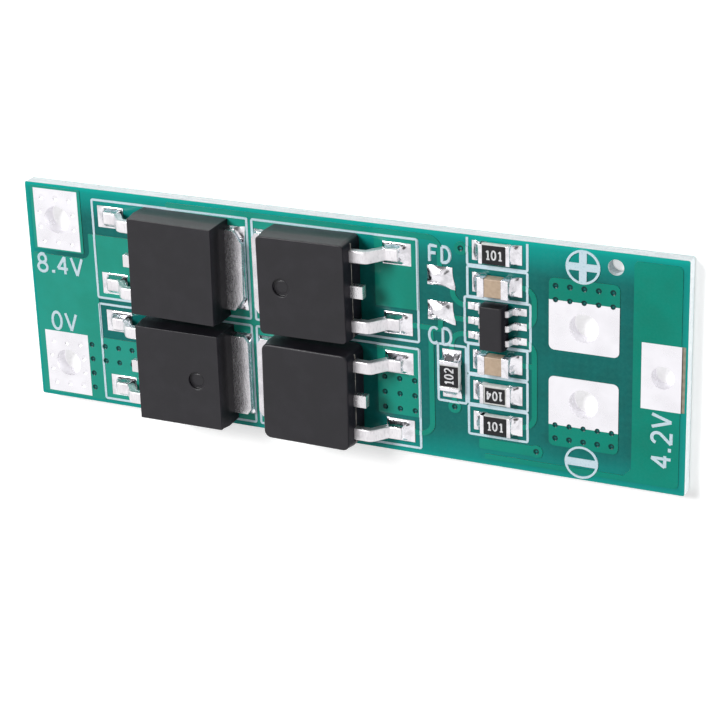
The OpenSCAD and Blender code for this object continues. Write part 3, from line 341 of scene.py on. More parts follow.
def brushed_tin_material(name, light, dark, scratched, roughness):
    """Plated tab or lead: satin, with scratches along and across, paler on its raised faces."""
    paint = Paint(name, metallic=0.9)
    cloud = paint.ramp(paint.noise(0.9, 3), 0.35, 0.65)
    scratch = paint.ramp(paint.noise(3.0, 3, stretch=(6, 1, 1)), 0.45, 0.8)
    raised = paint.above(paint.axis("Z"), Z_SEAT + 0.9)
    color = paint.mix(raised, paint.mix(cloud, light, dark), srgb(236, 233, 236))
    paint.set("Base Color", paint.mix(paint.times(scratch, 0.4), color, scratched))
    paint.set("Roughness", paint.ramp(scratch, 0.0, 1.0, roughness, roughness + 0.14))
    paint.bump(paint.plus(scratch, paint.noise(5, 2)), 0.2, 0.012)
    return paint.material


# Specular level of a moulding's top, and how it differs on the walls towards +X, for painted shade, and
# towards +Y, for a painted sheen
TOP_GLOSS, X_WALL_SHADE_GLOSS, Y_WALL_SHEEN_GLOSS = 0.42, -0.32, 0.25


def moulding_material(name, light, dark, roughness):
    """Black epoxy moulding compound: eroded mould texture, grey bloom, pale specks, a painted highlight
    along the parting line, and painted shade and sheen on its walls.
    """
    paint = Paint(name, specular=TOP_GLOSS)
    bloom = paint.ramp(paint.noise(0.8, 5), 0.4, 0.72)
    speck = paint.ramp(paint.noise(34, 2), 0.68, 0.76, 0.0, 0.4)
    color = paint.mix(speck, paint.mix(bloom, dark, light), srgb(62, 58, 60))
    # A painted highlight along the parting line
    paint.set("Base Color", paint.mix(flash_highlight(paint), color, srgb(150, 144, 138)))
    # Painted shade on the walls towards +X and a painted sheen on those towards +Y, by their specular
    # level
    shaded_x_walls = paint.ramp(paint.facing("X"), 0.5, 0.9, TOP_GLOSS, TOP_GLOSS + X_WALL_SHADE_GLOSS)
    sheen_y_walls = paint.ramp(paint.facing("Y"), 0.5, 0.9, 0.0, Y_WALL_SHEEN_GLOSS)
    paint.set("Specular IOR Level", paint.plus(shaded_x_walls, sheen_y_walls))
    grain = paint.noise(26, 3)
    paint.set("Roughness", paint.ramp(grain, 0.3, 0.7, roughness - 0.06, roughness + 0.08))
    paint.bump(paint.plus(grain, paint.times(paint.noise(9, 2), 0.5)), 0.4, 0.015)
    return paint.material


# Parting line of the transistors' moulds, above their seat, and where its painted highlight starts
FLASH_LEVEL, FLASH_FROM_X = 1.3, -3.0


def flash_highlight(paint):
    """Share of the painted highlight, a pale line along the parting line, on the walls towards +X."""
    off = paint.math("ABSOLUTE", paint.minus(paint.axis("Z"), Z_SEAT + FLASH_LEVEL))
    line = paint.times(paint.ramp(off, 0.05, 0.02), paint.ramp(paint.noise(2.2, 4), 0.3, 0.6))
    wall = paint.above(paint.facing("X"), 0.9)
    beyond = paint.above(paint.axis("X"), FLASH_FROM_X)
    return paint.times(line, paint.times(wall, beyond))


def lining_material():
    """Inside of an open via: plating under a thin coat of the green film."""
    paint = Paint("via_lining")
    paint.set("Base Color", paint.mix(paint.noise(6, 3), srgb(8, 58, 56), srgb(16, 84, 78)))
    paint.set("Roughness", 0.25)
    paint.bump(paint.noise(12, 2), 0.3, 0.01)
    return paint.material


def ceramic_material(name, light, dark, roughness, specular=0.5):
    """Fired ceramic, glaze or its ink: softly clouded, with a fine grain."""
    paint = Paint(name, specular=specular)
    paint.set("Base Color", paint.mix(paint.ramp(paint.noise(4, 5), 0.35, 0.68), light, dark))
    satin = paint.noise(12, 3)
    paint.set("Roughness", paint.ramp(satin, 0.3, 0.7, roughness - 0.06, roughness + 0.08))
    paint.bump(paint.noise(40, 3), 0.3, 0.008)
    return paint.material


def make_materials():
    """The material of each slot, and that of the chips' printed codes."""
    bright = srgb(246, 244, 249)
    return {
        "laminate": laminate_material(),
        "copper": copper_material(),
        "via_lining": lining_material(),
        "solder_mask": mask_material(),
        "white_ink": ink_material(),
        "tinned_land": tin_material("hot_levelled_tin", bright, srgb(236, 234, 239), 0.3, 0.5, 0.01),
        "solder": tin_material("solder", bright, srgb(190, 188, 194), 0.16, 1.6, 0.02),
        "end_cap_metal": tin_material("end_metal", bright, srgb(204, 202, 208), 0.24, 2.2, 0.02),
        "tinned_metal": brushed_tin_material(
            "tin_plated_tab", srgb(240, 237, 241), srgb(222, 219, 224), srgb(184, 181, 187), 0.26),
        "tinned_lead": brushed_tin_material(
            "tin_plated_lead", srgb(240, 237, 240), srgb(222, 219, 223), srgb(176, 173, 178), 0.42),
        "moulding": moulding_material("moulding_compound", srgb(28, 26, 32), srgb(21, 19, 25), 0.4),
        "black_coating": ceramic_material("black_glaze", srgb(22, 21, 25), srgb(32, 31, 35), 0.36, 0.3),
        "code_ink": ceramic_material("code_ink", srgb(236, 236, 238), srgb(214, 214, 218), 0.5, 0.3),
        "white_ceramic": ceramic_material("alumina", srgb(230, 230, 228), srgb(214, 214, 212), 0.5),
        "tan_ceramic": ceramic_material("tan_dielectric", srgb(200, 177, 153), srgb(190, 166, 142), 0.34),
    }


MATERIALS = make_materials()


def dress(obj, slot):
    """Gives an object the material of a slot."""
    obj.data.materials.clear()
    obj.data.materials.append(MATERIALS[slot])


def dress_cad_nodes():
    for name, obj in NODES.items():
        dress(obj, SLOTS[name])


# ---------- pieces ----------

def new_object(name, data):
    obj = bpy.data.objects.new(name, data)
    bpy.context.scene.collection.objects.link(obj)
    return obj


def new_mesh(name, work):
    """A mesh of what a bmesh holds."""
    mesh = bpy.data.meshes.new(name)
    work.to_mesh(mesh)
    work.free()
    return mesh


def new_piece(name, mesh, slot, replaced=()):
    """Adds a finished mesh, in the frame's own place, as a piece of the object."""
    obj = new_object(name, mesh)
    dress(obj, slot)
    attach(obj, "root")
    if replaced:
        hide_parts(*replaced)
    return obj


def finish_node(node, mesh):
    """Adds a finished mesh that stands for a CAD node."""
    new_piece(node + "_finished", mesh, SLOTS[node], [node])


def applied(obj):
    """The object's mesh with its modifiers applied."""
    graph = bpy.context.evaluated_depsgraph_get()
    mesh = bpy.data.meshes.new_from_object(obj.evaluated_get(graph))
    bpy.data.objects.remove(obj)
    return mesh


def smooth_mesh(mesh, angle):
    """Smooth shading, with sharp edges above an angle in degrees and round level faces."""
    work = bmesh.new()
    work.from_mesh(mesh)
    limit = math.radians(angle)
    for face in work.faces:
        face.smooth = True
    for edge in work.edges:
        level = [abs(face.normal.z) > 0.9999 for face in edge.link_faces]
        sharp = len(level) != 2 or level[0] != level[1] or edge.calc_face_angle(0) > limit
        edge.smooth = not sharp
    work.to_mesh(mesh)
    work.free()


# Points of a solid that are one, and turns in it that are flat or that are rounded, in degrees
SAME_POINT, FLAT_TURN, ROUNDED_TURN = 0.002, 1, 40


def soften(node, width, segments=3):
    """Stands for a CAD node with the same solid, its edges rounded by a width."""
    work = bmesh.new()
    work.from_mesh(NODES[node].data)
    bmesh.ops.remove_doubles(work, verts=work.verts, dist=SAME_POINT * MM)
    flat = math.radians(FLAT_TURN)
    bmesh.ops.dissolve_limit(work, angle_limit=flat, verts=work.verts, edges=work.edges)
    obj = new_object("work", new_mesh(node + "_soft", work))
    bevel = obj.modifiers.new("edges", "BEVEL")
    bevel.width = width * MM
    bevel.segments = segments
    bevel.limit_method = "ANGLE"
    bevel.angle_limit = math.radians(ROUNDED_TURN)
    mesh = applied(obj)
    smooth_mesh(mesh, angle=30)
    finish_node(node, mesh)


# ---------- shapes, in millimetres ----------

def vertices(work, points):
    return [work.verts.new((x * MM, y * MM, z * MM)) for x, y, z in points]


def skin(work, low, high):
    """Faces between two closed rings of as many vertices each."""
    for i in range(len(low)):
        j = (i + 1) % len(low)
        work.faces.new((low[i], low[j], high[j], high[i]))


def closed_mesh(name, loops):
    """Skin over a stack of loops of as many points each, with both ends closed."""
    work = bmesh.new()
    rings = [vertices(work, loop) for loop in loops]
    for low, high in zip(rings, rings[1:]):
        skin(work, low, high)
    work.faces.new(rings[0][::-1])
    work.faces.new(rings[-1])
    return new_mesh(name, work)


def joined(name, meshes):
    """One mesh from several, all facing outwards."""
    work = bmesh.new()
    for mesh in meshes:
        work.from_mesh(mesh)
        bpy.data.meshes.remove(mesh)
    bmesh.ops.recalc_face_normals(work, faces=work.faces)
    return new_mesh(name, work)


def field_mesh(name, xs, ys, level, place):
    """Closed solid on the copper, over a grid that place takes to the frame, level(x, y) high."""
    work = bmesh.new()
    rows = []
    for x in xs:
        rows.append(vertices(work, [(*place(x, y), Z_COPPER + level(x, y)) for y in ys]))
    for row, after in zip(rows, rows[1:]):
        for j in range(len(ys) - 1):
            work.faces.new((row[j], after[j], after[j + 1], row[j + 1]))
    rim = [row[0] for row in rows] + rows[-1][1:]
    rim += [row[-1] for row in rows[-2::-1]] + rows[0][-2:0:-1]
    foot = [work.verts.new((v.co.x, v.co.y, Z_COPPER * MM)) for v in rim]
    skin(work, foot, rim)
    work.faces.new(foot[::-1])
    return new_mesh(name, work)


def steps_between(low, high, step):
    count = max(2, math.ceil((high - low) / step))
    return [low + (high - low) * i / count for i in range(count + 1)]


def grid(area, step):
    """Steps along both sides of an area (x0, x1, y0, y1)."""
    x0, x1, y0, y1 = area
    return steps_between(x0, x1, step), steps_between(y0, y1, step)


def turned_place(x0, y0, degrees):
    """Takes a point of a part to the frame: turned by degrees, then set at x0, y0."""
    c, s = math.cos(math.radians(degrees)), math.sin(math.radians(degrees))
    return lambda x, y: (x0 + c * x - s * y, y0 + s * x + c * y)


def arc(cx, cy, rx, ry, start, end, steps=14):
    """Points of an elliptic arc, angles in degrees."""
    points = []
    for i in range(steps + 1):
        a = math.radians(start + (end - start) * i / steps)
        points.append((cx + rx * math.cos(a), cy + ry * math.sin(a)))
    return points


def circle(cx, cy, radius, count):
    return arc(cx, cy, radius, radius, 0, 360, count)[:-1]


def rounded_loop(x0, x1, y0, y1, r, z, steps):
    """Rounded rectangle at level z."""
    points = []
    corners = ((x1 - r, y1 - r, 0), (x0 + r, y1 - r, 90), (x0 + r, y0 + r, 180), (x1 - r, y0 + r, 270))
    for cx, cy, start in corners:
        points += [(px, py, z) for px, py in arc(cx, cy, r, r, start, start + 90, steps)]
    return points


def uneven(x, y, scale, seed):
    """Smooth unevenness between about -1 and 1."""
    return noise.noise((x * scale + seed, y * scale - seed, seed * 0.37))


def lumpy(x, y, seed, broad, fine):
    """About 1, uneven by a broad and a fine (share, scale)."""
    return 1 + sum(share * uneven(x, y, scale, seed) for share, scale in (broad, fine))


# ---------- printed signs, drawn as ink strokes ----------

# Each sign is a list of strokes in a cell of width 0.6 and height 1
STROKES = {
    "0": [arc(0.3, 0.5, 0.26, 0.5, 0, 360, 28)],
    "1": [[(0.12, 0.78), (0.34, 1.0), (0.34, 0.0)], [(0.14, 0.0), (0.54, 0.0)]],
    "2": [arc(0.3, 0.72, 0.25, 0.28, 165, -35) + [(0.04, 0.0), (0.58, 0.0)]],
    "4": [[(0.44, 0.0), (0.44, 1.0), (0.02, 0.3), (0.6, 0.3)]],
    "8": [arc(0.3, 0.76, 0.21, 0.24, -90, 270, 24) + arc(0.3, 0.26, 0.26, 0.26, 90, 450, 24)],
    "V": [[(0.0, 1.0), (0.31, 0.0), (0.62, 1.0)]],
    "F": [[(0.08, 0.0), (0.08, 1.0), (0.6, 1.0)], [(0.08, 0.54), (0.5, 0.54)]],
    "C": [arc(0.36, 0.5, 0.32, 0.5, 50, 310, 24)],
    "D": [[(0.08, 0.0), (0.08, 1.0), (0.26, 1.0)] + arc(0.26, 0.5, 0.34, 0.5, 90, -90) + [(0.08, 0.0)]],
    ".": [[(0.0, 0.07), (0.18, 0.07)]],
}
# From one sign to the next, and the part of it that is a gap
ADVANCE, SIGN_GAP = 0.82, 0.22
NARROW_ADVANCE = {".": 0.34, "1": 0.76}
SHARP_TURN = math.radians(50)
# Share of a line's thickness in its steep sides, with the rest in its dome, and the share by
# which it dips into what it is printed on
LINE_SIDE, LINE_UNDER = 0.94, 0.1
# The signs stand on the film's low face and reach as high as the printed frames
Z_PRINT = PRINT_LOW.z
PRINT_T = PRINT_HIGH.z - PRINT_LOW.z


def straightened(stroke):
    """The stroke in pieces that turn gently, so that its line keeps its width at corners."""
    pieces, piece = [], [stroke[0]]
    for before, point, after in zip(stroke, stroke[1:], stroke[2:]):
        piece.append(point)
        a = math.atan2(point[1] - before[1], point[0] - before[0])
        b = math.atan2(after[1] - point[1], after[0] - point[0])
        turn = abs((b - a + math.pi) % (2 * math.pi) - math.pi)
        if turn > SHARP_TURN:
            pieces.append(piece)
            piece = [point]
    return pieces + [piece + [stroke[-1]]]


def sign_strokes(word):
    """Strokes of a row of signs of height 1, and the row's width."""
    strokes, x = [], 0.0
    for sign in word:
        for stroke in STROKES[sign]:
            strokes += [[(px + x, py) for px, py in piece] for piece in straightened(stroke)]
        x += NARROW_ADVANCE.get(sign, ADVANCE)
    return strokes, x - SIGN_GAP


def flatten(mesh, radius, thickness, z):
    """Turns round lines into low, slightly domed ones with steep sides, from level z up."""
    for vertex in mesh.vertices:
        height = vertex.co.z / radius
        share = min(LINE_SIDE, 2 * LINE_SIDE * abs(height)) + (1 - LINE_SIDE) * abs(height)
        if height < 0:
            share *= -LINE_UNDER
        vertex.co = (vertex.co.x * MM, vertex.co.y * MM, (z + share * thickness) * MM)


def add_stroke(curve, stroke):
    closed = len(stroke) > 3 and math.dist(stroke[0], stroke[-1]) < 1e-6
    points = stroke[:-1] if closed else stroke
    spline = curve.splines.new("POLY")
    spline.points.add(len(points) - 1)
    for point, (x, y) in zip(spline.points, points):
        point.co = (x, y, 0, 1)
    spline.use_cyclic_u = closed


def ink_piece(name, strokes, width, z, thickness):
    """Flat ink lines of a width along strokes."""
    curve = bpy.data.curves.new(name, "CURVE")
    curve.dimensions = "3D"
    curve.bevel_depth = width / 2
    curve.bevel_resolution = 2
    curve.use_fill_caps = True
    for stroke in strokes:
        add_stroke(curve, stroke)
    mesh = applied(new_object(name, curve))
    flatten(mesh, width / 2, thickness, z)
    smooth_mesh(mesh, angle=40)
    return new_piece(name, mesh, "white_ink")


def word_piece(name, word, corner, turn, size, z, thickness):
    """A printed word from its lower left corner on, turned by turn degrees.

    size is the height of its signs, how far they are widened, and the width of their lines.
    """
    height, widened, line = size
    place = turned_place(*corner, turn)
    strokes, _ = sign_strokes(word)
    strokes = [[place(x * height * widened, y * height) for x, y in stroke] for stroke in strokes]
    return ink_piece(name, strokes, line, z, thickness)


# Height, widening and line of the signs at the terminals and of those at the test pads
VOLTAGE_SIZE = (1.2, 1.1, 0.25)
DISCHARGE_SIZE, CHARGE_SIZE = (1.0, 1.0, 0.21), (1.05, 1.0, 0.21)


def printed_words():
    """The voltages at the terminals, and the initials of discharge and charge at their pads.

    Each word's corner is set off from the land that it belongs to.
    """
    plus_low, _ = low_high("charge_positive_terminal")
    minus_low, minus_high = low_high("charge_negative_terminal")
    balance_low, balance_high = low_high("balance_terminal")
    discharge_low, discharge_high = low_high("discharge_test_pad")
    charge_low, _ = low_high("charge_test_pad")
    for name, word, corner, turn, size in (
        ("charge_voltage", "8.4V", (plus_low.x - 0.12, plus_low.y - 1.68), 0, VOLTAGE_SIZE),
        ("zero_voltage", "0V", (minus_low.x + 0.62, minus_high.y + 0.16), 0, VOLTAGE_SIZE),
        ("balance_voltage", "4.2V", (balance_high.x - 0.73, balance_low.y - 3.7), 90, VOLTAGE_SIZE),
        ("discharge_pad", "FD", (discharge_low.x + 0.08, discharge_high.y + 0.26), 0, DISCHARGE_SIZE),
        ("charge_pad", "CD", (charge_low.x + 0.02, charge_low.y - 1.36), 0, CHARGE_SIZE),
    ):
        word_piece(f"{name}_print", word, corner, turn, size, Z_PRINT, PRINT_T)


# Plus and minus in their rings: place, ring, and the share of its thickness that the bars have
CIRCLE_SHIFT_X, CIRCLE_Y = -0.1, 6.33
CIRCLE_R, CIRCLE_LINE, CIRCLE_STEPS = 1.0, 0.14, 64
BAR_SHARE = 0.97


def bar(x0, y0, x1, y1):
    """A square-ended printed bar between two corners, just lower than the ring it meets."""
    levels = (Z_PRINT, Z_PRINT + BAR_SHARE * PRINT_T)
    return closed_mesh("bar", [[(x0, y0, z), (x1, y0, z), (x1, y1, z), (x0, y1, z)] for z in levels])


def ring(cx, cy):
    """The printed ring round a sign."""
    inner, outer = CIRCLE_R - CIRCLE_LINE / 2, CIRCLE_R + CIRCLE_LINE / 2
    low, high = Z_PRINT, Z_PRINT + PRINT_T
    work = bmesh.new()
    rings = []
    for radius, z in ((inner, low), (inner, high), (outer, high), (outer, low)):
        points = circle(cx, cy, radius, CIRCLE_STEPS)
        rings.append(vertices(work, [(x, y, z) for x, y in points]))
    for this, other in zip(rings, rings[1:] + rings[:1]):
        skin(work, this, other)
    return new_mesh("ring", work)


def circled_sign(name, cy, width, upright):
    """A sign in a ring, with bars of a width: one across, and an upright one where asked."""
    cx = middle("battery_positive_terminal").x + CIRCLE_SHIFT_X
    r, half = CIRCLE_R, width / 2
    parts = [bar(cx - r, cy - half, cx + r, cy + half)]
    if upright:
        parts.append(bar(cx - half, cy + half, cx + half, cy + r))
        parts.append(bar(cx - half, cy - r, cx + half, cy - half))
    parts.append(ring(cx, cy))
    new_piece(name, joined(name, parts), "white_ink")


def printed_signs():
    printed_words()
    circled_sign("plus_sign_print", CIRCLE_Y, 0.46, True)
    circled_sign("minus_sign_print", -CIRCLE_Y, 0.5, False)


# Height, widening and line of the chips' codes, and the thickness of their ink
CODE_SIZE = (0.54, 0.92, 0.1)
CODE_T = 0.008


def resistor_codes():
    """Plain value codes in the middle of the resistors' coatings."""
    height, widened, _ = CODE_SIZE
    for index, word, turn in ((1, "101", 0), (2, "104", 180), (3, "101", 0), (4, "102", 90)):
        coating = f"resistor_{index}_coating"
        centre = middle(coating)
        _, length = sign_strokes(word)
        corner = turned_place(centre.x, centre.y, turn)(-length * height * widened / 2, -height / 2)
        top = low_high(coating)[1].z
        code = word_piece(f"resistor_{index}_code", word, corner, turn, CODE_SIZE, top, CODE_T)
        dress(code, "code_ink")


# ---------- moulded bodies ----------

# Steps over a rounded top edge, the least corner radius, the share of the height from which an
# end leans in, and the angle in degrees above which an edge looks sharp
EDGE_STEPS = 5
LEAST_CORNER = 0.04
SLANT_FROM = 0.85
MOULD_ANGLE = 32


def wall_rows(wall, height, edge):
    """Rows of (inset, level) up a moulding's wall and over its rounded top edge."""
    inset = wall[-1][0]
    return list(wall) + arc(inset + edge, height - edge, edge, edge, 180, 90, EDGE_STEPS)


def moulded_mesh(name, size, wall, corner, edge, steps, place, slant=0.0):
    """A moulding on its seat: drafted walls, rounded corners and a rounded top edge.

    size is its length, width and height, and a corner has as many faces as steps. Near the top,
    its +X end leans in by slant in all.
    """
    half_l, half_w, height = size[0] / 2, size[1] / 2, size[2]
    loops = []
    for inset, level in wall_rows(wall, height, edge):
        far = half_l - inset - slant * max(0.0, level / height - SLANT_FROM) / (1 - SLANT_FROM)
        r = max(corner - inset / 2, LEAST_CORNER)
        loop = rounded_loop(inset - half_l, far, inset - half_w, half_w - inset, r, level, steps)
        loops.append([(*place(x, y), Z_SEAT + z) for x, y, z in loop])
    return closed_mesh(name, loops)


# Ejector mark: its centre, radius and depth, and its section as (inset, depth)
MARK_X, MARK_Y, MARK_R, MARK_DEPTH = 1.35, 0.0, 0.63, 0.18
MARK_STEPS = 40
MARK_ROWS = ((0, 0), (0.02, 0.008), (0.04, 0.03), (0.05, MARK_DEPTH - 0.02), (0.08, MARK_DEPTH),
             (0.22, MARK_DEPTH), (0.25, MARK_DEPTH - 0.015), (0.29, MARK_DEPTH - 0.015))


def sink_mark(mesh, place, top):
    """Cuts an ejector mark, round with a soft rim and a raised middle, into the top face."""
    work = bmesh.new()
    work.from_mesh(mesh)
    lid = max(work.faces, key=lambda face: (round(face.calc_center_median().z, 7), len(face.verts)))
    outline = list(lid.edges)
    work.faces.remove(lid)
    rings = []
    for inset, depth in MARK_ROWS:
        points = circle(MARK_X, MARK_Y, MARK_R - inset, MARK_STEPS)
        rings.append(vertices(work, [(*place(x, y), top - depth) for x, y in points]))
    mouth = [work.edges.new((a, b)) for a, b in zip(rings[0], rings[0][1:] + rings[0][:1])]
    bmesh.ops.triangle_fill(work, edges=outline + mouth, use_beauty=True, normal=(0, 0, 1))
    for outer, inner in zip(rings, rings[1:]):
        skin(work, outer, inner)
    work.faces.new(rings[-1])
    bmesh.ops.recalc_face_normals(work, faces=work.faces)
    work.to_mesh(mesh)
    work.free()


# ---------- solder ----------

# Height of the solder at a land's edge, width of the flat rim there, pitch of its grid, how far
# it falls off beyond a tip, and the angle in degrees above which an edge looks sharp
SOLDER_RIM, FLAT_RIM = 0.014, 0.03
LAND_STEP = 0.045
TIP_REACH = 0.3
SOLDER_ANGLE = 50


def outside(value, low, high):
    """Distance by which a value lies outside a range."""
    return max(low - value, 0, value - high)


def soft_least(distances):
    """The least of some distances, rounded off where two of them meet."""
    return sum(max(d, 1e-4) ** -3.0 for d in distances) ** (-1 / 3)


def wetted(foot, land, height, power, seed, skew=0.0, low_tip=0.0):
    """Level of the solder on a land: up to height round a foot, falling to the land's edge.

    foot and land are (x0, x1, y0, y1); the foot is turned by skew degrees on its land.
    low_tip is the share by which the solder is lower from TIP_REACH beyond the foot's tip on.
    """
    to_foot = turned_place(0, 0, -skew)

    def level(x, y):
        fx, fy = to_foot(x, y)
        away = math.hypot(outside(fx, foot[0], foot[1]), outside(fy, foot[2], foot[3]))
        edge = soft_least((x - land[0], land[1] - x, y - land[2], land[3] - y))
        edge = max(edge - FLAT_RIM, 0.0)
        share = edge / (edge + away + 1e-6)
        tip = min(max(foot[0] - fx, 0.0) / TIP_REACH, 1.0)
        lumps = lumpy(x, y, seed, (0.16, 1.9), (0.07, 5.3)) * (1 - low_tip * tip)
        return SOLDER_RIM + height * share ** power * lumps
    return level


def finish_solder(node, parts):
    """Stands for a CAD node of solder with its shaped parts."""
    mesh = joined(node, parts)
    smooth_mesh(mesh, SOLDER_ANGLE)
    finish_node(node, mesh)


# ---------- transistors ----------

FET_SIZE = (6.1, 6.6, 2.3)
FET_STEPS = 12
FET_WALL = ((0.03, 0.012), (0.01, 0.6), (0.0, 1.25), (0.0, 1.35), (0.03, 1.6), (0.08, 2.0))
# Of each transistor: its turn, its skew on its lands, the radius of its mould's corners and top
# edge, whether it has an ejector mark, the share by which its solder stays lower at the tips,
# and how far the corners of its tab are cut
FETS = (
    (0, -0.9, 0.08, 0.04, False, 0.55, (0.6, 0.84)),
    (0, 0.0, 0.08, 0.04, True, 0.55, (0.25, 0.35)),
    (180, 0.4, 0.34, 0.07, True, 0.0, (0.25, 0.35)),
    (180, -0.8, 0.5, 0.12, False, 0.0, (0.25, 0.35)),
)
# Span between the outer leads, their width, and the rounding of their edges
LEAD_SPAN, LEAD_W, LEAD_EDGE = 4.572, 0.8, 0.08
# Along the part: both ends of a lead's foot and of its land, and the land's width beside the foot
FOOT_X = (-5.8, -4.85)
LAND_X, LAND_SIDE = (-6.45, -4.55), 0.33
FILLET_H, FILLET_POWER = 0.47, 1.7
# The tab from its end inside the body to its far end, its width, and the rounding of its edges
TAB_X0, TAB_X1, TAB_W, TAB_EDGE = -1.5, 4.2, 5.35, 0.1
# Its solder: the rim beyond its end and sides, the short edges at its corners, and its section
# as (share of the way to the tab, level)
TAB_RIM, TAB_SIDE, TAB_CORNER = 0.08, 0.15, 0.06
TAB_ROWS = ((0, 0), (0, 0.03), (0.3, 0.1), (0.7, 0.2), (1.02, 0.3))
CUT_LEAST, CUT_FULL_AT = 0.02, 0.7


def fet_body(name, place, corner, edge, marked):
    """Moulded body of one transistor."""
    mesh = moulded_mesh(name, FET_SIZE, FET_WALL, corner, edge, FET_STEPS, place)
    if marked:
        sink_mark(mesh, place, Z_SEAT + FET_SIZE[2])
    smooth_mesh(mesh, MOULD_ANGLE)
    finish_node(name, mesh)


def fet_fillet(place, side, seed, skew, low_tip):
    """Solder round the foot of one outer lead."""
    y, half = side * LEAD_SPAN / 2, LEAD_W / 2
    land = (*LAND_X, y - half - LAND_SIDE, y + half + LAND_SIDE)
    foot = (*FOOT_X, y - half, y + half)
    level = wetted(foot, land, FILLET_H, FILLET_POWER, seed, skew, low_tip)
    return field_mesh("fillet", *grid(land, LAND_STEP), level, place)


def tab_solder(place, cut):
    """Low rim of solder that climbs the end and sides of the tab and follows its cut corners."""
    loops, d = [], TAB_CORNER
    for share, level in TAB_ROWS:
        far = TAB_X1 + TAB_RIM * (1 - share)
        half = TAB_W / 2 + TAB_SIDE * (1 - share)
        reached = min(share / CUT_FULL_AT, 1.0) ** 0.5
        cx, cy = cut[0] * reached + CUT_LEAST, cut[1] * reached + CUT_LEAST
        upper = [(far, half - cy - d), (far, half - cy), (far - cx, half), (far - cx - d, half),
                 (TAB_X0, half)]
        outline = [(x, -y) for x, y in reversed(upper)] + upper
        loops.append([(*place(x, y), Z_COPPER + level) for x, y in outline])
    return closed_mesh("rim", loops)


def transistors():
    for i, (turn, skew, corner, edge, marked, low_tip, cut) in enumerate(FETS):
        name = f"transistor_{i + 1}"
        centre = middle(f"{name}_body")
        skewed = turned_place(centre.x, centre.y, turn + skew)
        fet_body(f"{name}_body", skewed, corner, edge, marked)
        on_lands = turned_place(centre.x, centre.y, turn)
        parts = [fet_fillet(on_lands, side, 3.1 * i + side, skew, low_tip) for side in (-1, 1)]
        finish_solder(f"{name}_solder", parts + [tab_solder(on_lands, cut)])
        soften(f"{name}_drain_tab", TAB_EDGE)
        for lead in ("gate_lead", "source_lead"):
            soften(f"{name}_{lead}", LEAD_EDGE, segments=4)


# ---------- chips ----------

# Length and width of a chip, the length over its lands, and the length of one land
CHIP_L, CHIP_W, CHIP_SPAN, CHIP_LAND = 2.0, 1.25, 3.2, 0.95
CHIP_STEP = 0.035
# Height of the solder at the end metal, and rounding of the edges
RESISTOR_FILLET_H, CAPACITOR_FILLET_H = 0.46, 0.62
RESISTOR_EDGE, CAPACITOR_EDGE, CAPACITOR_METAL_EDGE = 0.03, 0.05, 0.07


def chip_fillet(place, height, seed):
    """Solder at one end of a chip: it climbs the end metal in a hollow curve."""
    start, end, half_w = -CHIP_SPAN / 2, -CHIP_L / 2, CHIP_W / 2

    def level(x, y):
        if x > end + 1e-6:
            return SEAT
        share = (x - start) / (end - start)
        shoulder = max(1 - (abs(y) / half_w) ** 2.2, 0.0) ** 0.75
        lumps = lumpy(x, y, seed, (0.2, 2.4), (0.1, 6.1))
        return SOLDER_RIM + height * share ** 1.6 * (0.15 + 0.85 * shoulder) * lumps
    # Beyond the end metal the solder drops at once to the seat under the chip
    xs = steps_between(start, end, CHIP_STEP) + [end + 0.001, start + CHIP_LAND]
    return field_mesh("end", xs, steps_between(-half_w, half_w, LAND_STEP), level, place)


def chip_solder(name, turn, height, seed):
    """Solder at both ends of a chip."""
    centre = middle(name)
    parts = []
    for side in (0, 180):
        place = turned_place(centre.x, centre.y, turn + side)
        parts.append(chip_fillet(place, height, seed + side))
    finish_solder(name, parts)


def resistors():
    for i, turn in ((1, 0), (2, 180), (3, 0), (4, 90)):
        chip_solder(f"resistor_{i}_solder", turn, RESISTOR_FILLET_H, seed=1.7 * i)
        for part in ("ceramic", "end_caps", "coating"):
            soften(f"resistor_{i}_{part}", RESISTOR_EDGE)


def capacitors():
    for i in (1, 2):
        chip_solder(f"capacitor_{i}_solder", 0, CAPACITOR_FILLET_H, seed=9.3 * i)
        soften(f"capacitor_{i}_ceramic", CAPACITOR_EDGE)
        soften(f"capacitor_{i}_end_caps", CAPACITOR_METAL_EDGE, segments=4)


# ---------- protection chip ----------

IC_SIZE = (1.6, 2.9, 1.05)
IC_STEPS = 4
IC_WALL = ((0.04, 0.08), (0.0, 0.6), (0.05, 0.98))
IC_CORNER, IC_EDGE, IC_SLANT = 0.08, 0.05, 0.16
# Its leads: span over their tips, length and width of a foot, and pitch
IC_SPAN, IC_FOOT_L, IC_FOOT_W, IC_PITCH = 2.8, 0.36, 0.36, 0.95
IC_LEAD_EDGE = 0.03
# Its lands: span over their ends, length and width
IC_LAND_SPAN, IC_LAND_L, IC_LAND_W = 3.8, 0.8, 0.46
IC_FILLET_H, IC_FILLET_POWER, IC_STEP = 0.13, 1.1, 0.03


def ic_body(name):
    centre = middle(name)
    place = turned_place(centre.x, centre.y, 0)
    mesh = moulded_mesh(name, IC_SIZE, IC_WALL, IC_CORNER, IC_EDGE, IC_STEPS, place, IC_SLANT)
    smooth_mesh(mesh, MOULD_ANGLE)
    finish_node(name, mesh)


def ic_fillet(place, y, seed):
    """Solder round the foot of one lead."""
    x0 = -IC_LAND_SPAN / 2
    land = (x0, x0 + IC_LAND_L, y - IC_LAND_W / 2, y + IC_LAND_W / 2)
    x0 = -IC_SPAN / 2
    foot = (x0, x0 + IC_FOOT_L, y - IC_FOOT_W / 2, y + IC_FOOT_W / 2)
    level = wetted(foot, land, IC_FILLET_H, IC_FILLET_POWER, seed)
    return field_mesh("fillet", *grid(land, IC_STEP), level, place)


